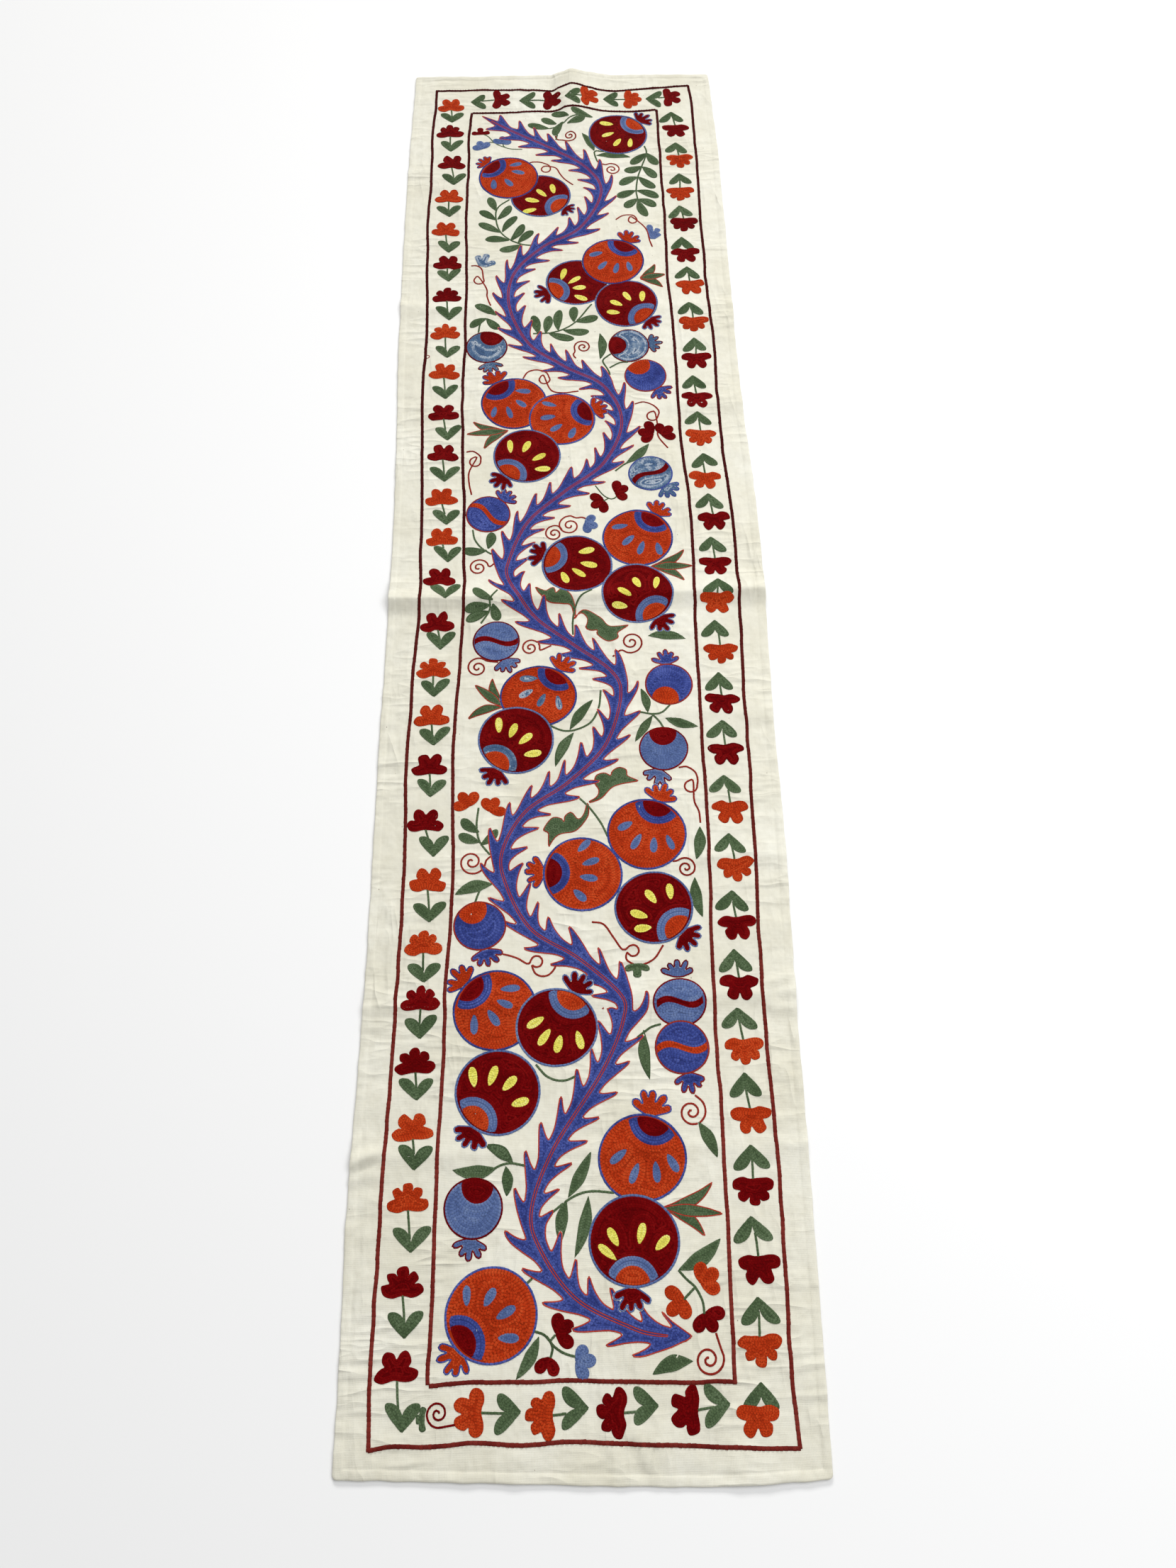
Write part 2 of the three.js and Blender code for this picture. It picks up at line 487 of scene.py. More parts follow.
def spiral(c, r, from_, turns=1.9, ccw=True, thread="tendril", width=2.6, tail=()):
    """A curl round c that starts where from_ meets its rim and winds inwards."""
    a0 = math.atan2(from_[1] - c[1], from_[0] - c[0])
    t = np.linspace(0, 1, int(26 * turns))
    a = a0 + (1 if ccw else -1) * t * turns * 2 * math.pi
    k = r * (1 - 0.9 * t**0.9)
    pts = np.stack([c[0] + k * np.cos(a), c[1] + k * np.sin(a)], 1)
    lead = [tuple(q) for q in tail] + [tuple(from_)]
    start = open_spline(lead + [tuple(pts[2])]) if len(lead) > 0 else pts[:1]
    line(np.vstack([start, pts[3:]]), thread, width, 2.8, smooth=False)


def curl(before, loop, after, radius=7.5, ccw=True, width=2.6):
    """A tendril that runs through before, once round loop, and on through after."""
    a0 = math.atan2(before[-1][1] - loop[1], before[-1][0] - loop[0])
    t = np.linspace(0.12, 0.95, 9)
    a = a0 + (1 if ccw else -1) * t * 2 * math.pi
    turn = [(loop[0] + radius * math.cos(b), loop[1] + radius * math.sin(b)) for b in a]
    line([*before, *turn, *after], "tendril", width, 2.8)


def crown(base, degrees, thread, edge, size=1.0, lobes=5, flare=66):
    rows = []
    for i in range(lobes):
        a = -flare + 2 * flare * i / (lobes - 1)
        middle = 1 - abs(a) / flare
        rows.append(
            (a + jig(4), size * (26.5 + 2.2 * middle + jig(2.0)), size * (4.9 + jig(0.4)), True)
        )
    fill(
        fan(base, degrees, rows, 13.5 * size, 5.6 * size),
        thread,
        edge,
        1.8,
        pitch=2.0,
        stitch=2.8,
    )


def rim_point(c, r, toward, k=1.0):
    a = math.atan2(toward[1] - c[1], toward[0] - c[0])
    return (c[0] + k * r * math.cos(a), c[1] + k * r * math.sin(a))


def pomegranate(
    kind, c, crown_at, seeds, r=47.0, ry=None, cap=None, band=28.5, size=1.0, own=None
):
    way = heading(c, crown_at)
    base = rim_point(c, r, crown_at, 0.97)
    if kind == "D":
        main, edge, cap_thread, band_thread, seed_thread = (
            "dark_red",
            "light_blue",
            "orange",
            "light_blue",
            "yellow",
        )
    else:
        main, edge, cap_thread, band_thread, seed_thread = (
            "orange",
            "blue",
            "dark_red",
            "blue",
            "light_blue",
        )
    if own and kind == "D":
        band_thread = own
    elif own:
        seed_thread = own
    crown(base, way, main, edge, 0.96 * size, 5, 57)
    fill(ring(c, 1.045 * r, 1.015 * (ry or r), seed=c[0]), main, edge, 2.9)
    inner = r - 3.0 if ry is None else min(r, ry) - 3.0
    cap_at = rim_point(c, r, cap or crown_at, 0.93)
    fill(lens(c, inner, cap_at, band), band_thread, pitch=2.1, stitch=3.0)
    fill(lens(c, inner, cap_at, band - 9.5), cap_thread, pitch=2.1, stitch=3.0)
    for i, s in enumerate(seeds):
        aim = (c[0] + 0.75 * (cap_at[0] - c[0]), c[1] + 0.75 * (cap_at[1] - c[1]))
        fill(
            drop(s, aim, 24.0 + jig(1.8), 9.5 + jig(0.8)),
            seed_thread,
            pitch=1.75,
            stitch=2.6,
        )


def little_fruit(c, crown_at, main, mark, edge, r=30.0, ry=None, patch=None, stripe=None):
    way = heading(c, crown_at)
    crown(rim_point(c, r, crown_at, 0.97), way, main, edge, 0.86, 5, 58)
    fill(ring(c, 1.06 * r, 1.03 * (ry or r), seed=c[1]), main, edge, 2.3)
    inner = min(1.06 * r, 1.03 * (ry or r)) - 1.6
    if patch:
        fill(lens(c, inner, rim_point(c, r, patch, 0.72), 17.5), mark)
    if stripe is not None:
        u = np.linspace(-1.0, 1.0, 25)
        wave = -7.5 * np.sin(u * 2.6)
        pts = [(inner * a, b + 3.9) for a, b in zip(u, wave)]
        pts += [(inner * a, b - 3.9) for a, b in zip(u[::-1], wave[::-1])]
        held = []
        for a, b in pts:
            k = math.hypot(a, b)
            held.append((a * inner / k, b * inner / k) if k > inner else (a, b))
        fill(turned(held, c, stripe), mark)


# border lines: y, outer left, outer right, inner left, inner right
LONG_LINES = (
    (1013, -213.5, 214.5, None, None),
    (956, -214.9, 218.2, -153.1, 158.2),
    (900, -217.6, 218.6, -156.8, 158.2),
    (850, -216.1, 218.3, -155.4, 159.3),
    (775, -216.1, 218.3, -156.3, 159.5),
    (703, -218.6, 217.3, -157.6, 160.5),
    (640, -215.9, 218.6, -155.1, 159.7),
    (577, -214.6, 217.5, -153.2, 159.0),
    (503, -211.5, 220.0, -153.3, 161.6),
    (440, -211.5, 222.8, -152.2, 163.0),
    (355, -213.2, 220.5, -154.2, 163.1),
    (286, -211.8, 221.6, -152.6, 163.0),
    (212, -208.8, 223.2, -149.9, 165.6),
    (138, -205.6, 227.6, -146.8, 170.0),
    (56, -205.3, 228.7, -145.1, 170.0),
    (-10, -202.0, 228.1, -143.0, 168.0),
    (-98, -206.9, 226.4, -146.1, 166.9),
    (-172, -208.4, 224.0, -149.7, 165.8),
    (-264, -210.2, 223.6, -151.9, 165.8),
    (-390, -207.2, 221.4, -147.3, 165.1),
    (-463, -207.5, 218.6, -148.8, 162.8),
    (-537, -209.1, 217.0, -152.5, 160.6),
    (-611, -210.6, 216.9, -152.2, 159.2),
    (-690, -212.7, 218.6, -154.7, 160.6),
    (-750, -215.4, 219.1, -155.4, 159.2),
    (-809, -215.0, 218.3, -156.2, 159.9),
    (-883, -217.0, 216.7, -156.8, 158.3),
    (-957, -217.3, 215.2, -158.4, 157.2),
    (-1016, -215.3, 218.2, None, None),
)
FAR_LINES = (  # x, outer, inner
    (-213.8, 1011, None),
    (-185, 1011.9, None),
    (-152, 1012.2, 955.4),
    (-95, 1011.6, 954.8),
    (-56, 1010.0, 957.6),
    (-16, 1008.2, 956.9),
    (-4, 1008.9, 958.8),
    (11, 1011.4, 958.6),
    (29, 1010.2, 958.8),
    (55, 1005.8, 955.6),
    (85, 1005.2, 953.8),
    (117, 1007.2, 952.6),
    (157, 1010.0, 955.0),
    (180, 1011.8, None),
    (214.8, 1015.6, None),
)
NEAR_LINES = (  # x, outer, inner
    (-216, -1014.8, None),
    (-190, -1011, None),
    (-157, -1012, -958.2),
    (-105, -1010.2, -955.4),
    (-60, -1012.6, -956),
    (-12, -1010.4, -955.6),
    (43, -1013, -957),
    (99, -1016, -959),
    (156.5, -1018.4, -959.4),
    (218.4, -1021, None),
)


def border_lines():
    for k, corner in ((1, "outer"), (3, "inner")):
        for side in (0, 1):
            pts = [(r[k + side], r[0]) for r in LONG_LINES if r[k + side] is not None]
            if k + side == 2:
                pts = [(214.8, 1015.8)] + pts + [(218.5, -1021.2)]
            elif k + side == 4:
                pts = pts + [(pts[-1][0], -961.0)]
            wob = open_spline(pts, 2.0)
            wob[:, 0] += 0.7 * lump(wob[:, 1] / 23, wob[:, 1] * 0, 20 + k + side)
            line(wob, "border", 4.9, 4.6, smooth=False)
        column = 1 if corner == "outer" else 2
        for table, seed in ((FAR_LINES, 30), (NEAR_LINES, 34)):
            pts = [(r[0], r[column]) for r in table if r[column] is not None]
            wob = open_spline(pts, 2.0)
            wob[:, 1] += 0.7 * lump(wob[:, 0] / 23, wob[:, 0] * 0, seed + k)
            line(wob, "border", 4.9, 4.6, smooth=False)


# border flowers: flower x, y, colour (O orange, D dark red), then where its two leaves meet
LEFT_FLOWERS = (
    (-188, 976, "O", -186, 933),
    (-188, 912, "D", -186, 863),
    (-184, 838, "D", -179, 786),
    (-186, 760, "O", -184, 713),
    (-189, 686, "O", -183, 635),
    (-184, 614, "D", -181, 573),
    (-183, 545, "D", -178, 493),
    (-183, 470, "O", -179, 418),
    (-183, 392, "O", -179, 339),
    (-181, 314, "D", -174, 262),
    (-180, 240, "D", -176, 188),
    (-179, 162, "O", -171, 114),
    (-176, 94, "O", -167, 51),
    (-177, 27, "D", -168, -12),
    (-178, -44, "D", -173, -87),
    (-181, -115, "O", -179, -158),
    (-181, -185, "O", -177, -228),
    (-181, -255, "D", -179, -300),
    (-184, -331, "D", -172, -380),
    (-178, -409, "O", -174, -463),
    (-180, -488, "O", -178, -536),
    (-180, -555, "D", -180, -602),
    (-184, -627, "D", -181, -671),
    (-184, -700, "O", -181, -746),
    (-186, -774, "O", -181, -830),
    (-188, -859, "D", -184, -913),
    (-190, -939, "D", -183, -999),
)
RIGHT_FLOWERS = (
    (188, 903, "D", 182, 949),
    (191, 831, "O", 186, 875),
    (188, 755, "O", 188, 802),
    (191, 686, "D", 185, 729),
    (189, 619, "D", 185, 659),
    (193, 551, "O", 190, 595),
    (194, 475, "O", 189, 519),
    (194, 403, "D", 193, 448),
    (191, 327, "D", 187, 375),
    (193, 258, "O", 190, 306),
    (195, 182, "O", 194, 230),
    (202, 111, "D", 197, 159),
    (200, 36, "D", 196, 85),
    (198, -25, "O", 201, 14),
    (198, -102, "O", 193, -50),
    (195, -177, "D", 193, -130),
    (195, -249, "D", 193, -201),
    (196, -329, "O", 190, -278),
    (196, -404, "O", 191, -357),
    (193, -478, "D", 190, -431),
    (191, -551, "D", 187, -504),
    (191, -624, "O", 186, -574),
    (193, -701, "O", 189, -648),
    (190, -776, "D", 190, -727),
    (190, -855, "D", 185, -801),
    (185, -932, "O", 186, -881),
    (178, -996, "O", 183, -961),
)
END_FLOWERS = (
    (-103, 988, "D", -155, 983),
    (-17, 984, "D", -73, 984),
    (46, 985, "O", 4, 983),
    (119, 983, "O", 69, 983),
    (186, 986, "D", 141, 983),
    (-116, -983, "O", -63, -983),
    (-43, -987, "O", 6, -981),
    (29, -986, "D", 77, -980),
    (104, -985, "D", 150, -980),
)


def border_bloom(base, way, ears):
    """Two wide petals on a flat foot and two or three narrower ones over them."""
    wing = [(-0.6, -3.2), (-2.4, -10), (-1.6, -17.5), (2.6, -22.4), (8.4, -21.6), (11.4, -16.4)]
    if ears == 2:
        ear = [
            (12.0, -11.4, True),
            (16.2, -14.6),
            (22.6, -14.4),
            (27.0, -9.6),
            (25.4, -3.6),
            (18.6, -0.4, True),
        ]
        top = []
    else:
        ear = [
            (11.4, -12.6, True),
            (14.6, -16.4),
            (20.2, -16.0),
            (22.6, -11.0),
            (20.4, -6.6),
            (17.4, -5.0, True),
        ]
        top = [(22.4, -6.4), (27.2, -3.6), (27.6, 3.0), (22.6, 6.0)]

    def shaken(points, side):
        return [
            (q[0] + jig(1.0), side * q[1] + jig(1.0), *q[2:])
            for q in points
        ]

    right, left = shaken(wing + ear, 1), shaken(wing + ear, -1)
    if ears == 2:
        left = left[:-1]
    pts = right + shaken(top, 1) + left[::-1]
    return closed_spline(turned(pts, base, way), 1.0)


def border_flower(x, y, colour, vx, vy):
    """A flower whose flat side faces its stem, and a pair of leaves from one point."""
    way = 90.0 * round(heading((vx, vy), (x, y)) / 90)
    base = turned([(-13.0, 0)], (x, y), way)[0]
    stem(
        (vx, vy),
        ((vx + base[0]) / 2 + jig(1.5), (vy + base[1]) / 2 + jig(1.5)),
        turned([(3.0, 0)], base, way)[0],
    )
    for side in (-1, 1):
        a = math.radians(way + side * (37 + jig(5)))
        long = 30.5 + jig(2.5)
        tip = (vx + long * math.cos(a), vy + long * math.sin(a))
        leaf((vx, vy), tip, 11.4 + jig(0.8), side * -0.09, blunt=True)
    fill(
        border_bloom(base, way + jig(4), 3 if DICE.uniform() < 0.4 else 2),
        "orange" if colour == "O" else "dark_red",
        stitch=3.0,
        pitch=2.1,
    )


BIG = (  # kind, centre, crown, seeds, extras
    ("D", (91, 897), (134, 934), ((73, 923), (75, 897), (90, 878), (111, 877)), {}),
    ("D", (-38, 756), (12, 718), ((-18, 771), (-36, 762), (-51, 746), (-55, 723)), {"size": 0.78}),
    ("O", (-90, 799), (-138, 842), ((-79, 829), (-75, 811), (-90, 788), (-114, 784)), {"size": 0.82}),
    ("D", (18, 566), (-38, 540), ((-3, 584), (14, 571), (21, 555), (23, 534)), {}),
    ("D", (93, 521), (138, 473), ((95, 534), (118, 533), (78, 520), (73, 502)), {"size": 0.92}),
    ("O", (75, 609), (104, 662), ((49, 625), (59, 601), (80, 595), (100, 598)), {}),
    (
        "O",
        (-78, 328),
        (-110, 379),
        ((-65, 350), (-68, 327), (-85, 311), (-107, 312)),
        {"cap": (-103, 360)},
    ),
    ("O", (-8, 297), (45, 316), ((-26, 324), (-28, 300), (-16, 281), (7, 271)), {}),
    ("D", (-59, 231), (-97, 186), ((-83, 248), (-60, 247), (-42, 228), (-37, 207)), {}),
    ("O", (95, 86), (128, 134), ((71, 105), (82, 82), (99, 69), (123, 67)), {}),
    ("D", (10, 43), (-46, 64), ((23, 65), (26, 43), (12, 30), (-7, 22)), {}),
    ("D", (91, -5), (125, -55), ((91, 10), (117, 9), (74, -6), (67, -25)), {}),
    (
        "O",
        (-43, -160),
        (-10, -111),
        ((-56, -134), (-59, -156), (-39, -166), (-17, -170)),
        {"r": 48, "ry": 45, "cap": (-16, -125), "own": "grey_blue"},
    ),
    (
        "D",
        (-72, -223),
        (-101, -275),
        ((-94, -202), (-76, -210), (-60, -222), (-51, -243)),
        {"cap": (-94, -251), "own": "grey_blue"},
    ),
    ("O", (90, -355), (112, -298), ((64, -344), (77, -365), (98, -370), (118, -367)), {}),
    ("O", (10, -406), (-49, -403), ((12, -370), (20, -391), (17, -411), (6, -433)), {}),
    (
        "D",
        (95, -450),
        (136, -490),
        ((92, -437), (115, -431), (77, -459), (81, -476)),
        {"r": 45.5},
    ),
    ("O", (-94, -571), (-136, -533), ((-77, -546), (-83, -564), (-96, -580), (-118, -587)), {}),
    (
        "D",
        (-23, -592),
        (1, -546),
        ((-47, -586), (-37, -603), (-21, -611), (3, -607)),
        {"r": 45.5},
    ),
    (
        "D",
        (-90, -664),
        (-120, -713),
        ((-118, -647), (-96, -646), (-77, -655), (-65, -676)),
        {"cap": (-114, -692)},
    ),
    (
        "O",
        (70, -738),
        (84, -674),
        ((44, -736), (61, -754), (85, -753), (103, -744)),
        {"cap": (82, -705), "size": 1.12},
    ),
    ("D", (58, -823), (54, -879), ((36, -819), (66, -816), (88, -826), (29, -834)), {}),
    (
        "O",
        (-94, -893),
        (-134, -937),
        ((-120, -874), (-96, -876), (-79, -891), (-76, -915)),
        {"cap": (-125, -918)},
    ),
)
LITTLE = (  # centre, crown, main, mark, edge, extras
    ((-120, 437), (-114, 399), "grey_blue", "dark_red", "dark_red", {"patch": (-112, 459)}),
    (
        (94, 435),
        (138, 440),
        "grey_blue",
        "dark_red",
        "dark_red",
        {"r": 29, "ry": 32, "patch": (72, 436)},
    ),
    ((117, 376), (140, 342), "blue", "orange", "tendril", {"patch": (107, 396)}),
    ((-113, 130), (-88, 160), "blue", "orange", "tendril", {"stripe": -25}),
    ((117, 196), (145, 164), "grey_blue", "dark_red", "blue", {"stripe": 40}),
    ((-99, -76), (-83, -114), "light_blue", "dark_red", "dark_red", {"stripe": 10}),
    ((127, -146), (125, -107), "blue", "orange", "tendril", {"patch": (122, -166)}),
    ((116, -239), (108, -272), "light_blue", "dark_red", "dark_red", {"patch": (116, -218)}),
    ((-114, -469), (-105, -507), "blue", "orange", "tendril", {"patch": (-123, -449)}),
    ((120, -566), (120, -526), "light_blue", "dark_red", "dark_red", {"ry": 28, "stripe": 14}),
    ((120, -618), (127, -658), "blue", "orange", "tendril", {"stripe": 12}),
    (
        (-115, -787),
        (-118, -829),
        "light_blue",
        "dark_red",
        "dark_red",
        {"r": 31, "patch": (-111, -766)},
    ),
)
# the vine's way from its foot to its tip
VINE_WAY = (
    (117, -917),
    (80, -915),
    (51, -907),
    (-5, -879),
    (-42, -831),
    (-52, -790),
    (-27, -726),
    (28, -644),
    (54, -585),
    (51, -555),
    (3, -511),
    (-53, -474),
    (-83, -418),
    (-88, -375),
    (-60, -323),
    (-5, -283),
    (43, -231),
    (64, -160),
    (51, -123),
    (3, -83),
    (-49, -38),
    (-83, 19),
    (-83, 53),
    (-57, 116),
    (-5, 167),
    (51, 216),
    (79, 290),
    (54, 358),
    (-1, 395),
    (-57, 443),
    (-87, 520),
    (-79, 588),
    (-34, 643),
    (25, 684),
    (60, 760),
    (40, 816),
    (-16, 864),
    (-83, 908),
    (-142, 953),
)
VINE = {"half": 9.7, "tip": 26.4, "teeth": 74, "notch": 13.0, "foot": 60.0, "head": 90.0}


def vine():
    way = open_spline(VINE_WAY, 1.5)
    run = np.r_[0, np.cumsum(np.hypot(*np.diff(way, axis=0).T))]
    total = run[-1]
    # the tangent is averaged so that tight bends don't fold the outline
    grad = np.gradient(way, run, axis=0)
    for _ in range(6):
        grad = (np.roll(grad, 1, 0) + 2 * grad + np.roll(grad, -1, 0)) / 4
    grad[0], grad[-1] = grad[1], grad[-2]
    grad /= np.hypot(*grad.T)[:, None]

    def at(s, off):
        s = min(max(s, 0), total)
        p = np.array([np.interp(s, run, way[:, k]) for k in (0, 1)])
        t = np.array([np.interp(s, run, grad[:, k]) for k in (0, 1)])
        t /= np.hypot(*t)
        return (p[0] - t[1] * off, p[1] + t[0] * off)

    def slim(s):
        return float(step01(s / VINE["foot"] * 1.1 + 0.05) * step01((total - s) / VINE["head"] * 1.3 + 0.05))

    gap = (total - 40) / VINE["teeth"]
    sides = []
    for side, phase in ((1, 0.0), (-1, 0.5)):
        pts = []
        s = 22 + phase * gap
        k = 0
        start = 8.0
        while s < total - 16:
            big = 0.35 + 0.65 * slim(s)
            tip_s = s + jig(3.0)
            tip_off = side * (VINE["tip"] + jig(3.0)) * (0.55 + 0.45 * slim(s))
            half = side * VINE["half"] * (0.28 + 0.72 * slim(s))
            notch_s = tip_s - (VINE["notch"] + jig(2.0)) * big
            reach = tip_s - start
            rise = tip_off - half
            back = tip_s - notch_s
            pts += [
                at(start + 0.26 * reach, half + 0.10 * rise),
                at(start + 0.54 * reach, half + 0.46 * rise),
                at(start + 0.78 * reach, half + 0.84 * rise),
                at(start + 0.93 * reach, half + 1.04 * rise),
                at(tip_s, tip_off),
                at(tip_s - 0.04 * back, half + 0.90 * rise),
                at(tip_s - 0.36 * back, half + 0.62 * rise),
                at(tip_s - 0.72 * back, half + 0.30 * rise),
                (*at(notch_s, half * 0.98), True),
            ]
            start = notch_s
            s += gap * (1 + jig(0.10))
            k += 1
        sides.append(pts)
    first = (*at(0, 0), True)
    last = (*at(total, 0), True)
    outline = closed_spline([first, *sides[0], last, *sides[1][::-1]], 1.4)
    fill(outline, "blue", "vine_red", 1.7, pitch=2.16, stitch=3.3)
    # the midrib: a narrow strip left free of the filling, where only the darker layer under the rows lies as
    # painted shade, with a row on either side of it
    inner = np.arange(26, total - 26, 2.0)
    left = [at(s, 1.75 * slim(s) + 0.4) for s in inner]
    right = [at(s, -1.75 * slim(s) - 0.4) for s in inner]
    fill(np.array(left + right[::-1]), "blue", pitch=99, stitch=3.0)
    for off in (1.25, -1.25):
        line(
            [at(s, off * slim(s)) for s in inner],
            "vine_red",
            1.35,
            2.6,
            smooth=False,
        )


def bloom(c, way, thread, size=1.0, lobes=3, edge=None, base=None):
    """A small flower of round petals, the middle one on top."""
    base = base or turned([(-10 * size, 0)], c, way)[0][:2]
    for a, long in ((-56, 19.5), (56, 19.5), (0, 21.0)) if lobes == 3 else ((-34, 20), (34, 20)):
        tip = turned([((long + jig(1.2)) * size, 0)], base, way + a + jig(5))[0][:2]
        fill(
            leaf_outline(base, tip, 13.2 * size, 0.0, True),
            thread,
            edge,
            1.6,
            pitch=2.0,
            stitch=2.9,
        )


def acanthus(spine, side, thread="green", edge="vine_red", size=1.3):
    """A leaf that curls along its spine, plain on one side and lobed on the other."""
    way = open_spline(spine, 1.5)
    run = np.r_[0, np.cumsum(np.hypot(*np.diff(way, axis=0).T))]
    grad = np.gradient(way, run, axis=0)
    grad /= np.hypot(*grad.T)[:, None]

    def at(t, off, *sharp):
        p = np.array([np.interp(t * run[-1], run, way[:, k]) for k in (0, 1)])
        g = np.array([np.interp(t * run[-1], run, grad[:, k]) for k in (0, 1)])
        g /= np.hypot(*g)
        off = off * side * size
        return (p[0] - g[1] * off, p[1] + g[0] * off, *sharp)

    plain = [(0.0, -1.3, True), (0.2, -2.6), (0.42, -5.2), (0.62, -5.8), (0.82, -3.4)]
    lobed = [
        (1.0, 0.0, True),
        (0.86, 2.6),
        (0.77, 4.6, True),
        (0.76, 10.5),
        (0.67, 13.5),
        (0.585, 10.5),
        (0.56, 6.6, True),
        (0.52, 12.5),
        (0.44, 15.5),
        (0.37, 12.0),
        (0.30, 5.4),
        (0.16, 2.4),
        (0.0, 1.3, True),
    ]
    outline = closed_spline([at(*q) for q in plain + lobed], 1.0)
    fill(outline, thread, edge, 1.5, pitch=2.0, stitch=3.0)


def flame(base, tips, thread="green", edge="vine_red", wide=9.0):
    """Pointed lobes that part from one foot: the outer ones first, the middle one over them."""
    order = [tips[0], tips[-1], *tips[1:-1]]
    middle = tips[len(tips) // 2]
    for t in order:
        turn_ = (heading(base, t) - heading(base, middle) + 180) % 360 - 180
        # the outer lobes start along the middle one and then swing out
        bend = 0.0 if t is middle else (-0.13 if turn_ > 0 else 0.13)
        fill(leaf_outline(base, t, wide * 1.22, bend), thread, edge, 1.5, pitch=2.0, stitch=3.0)


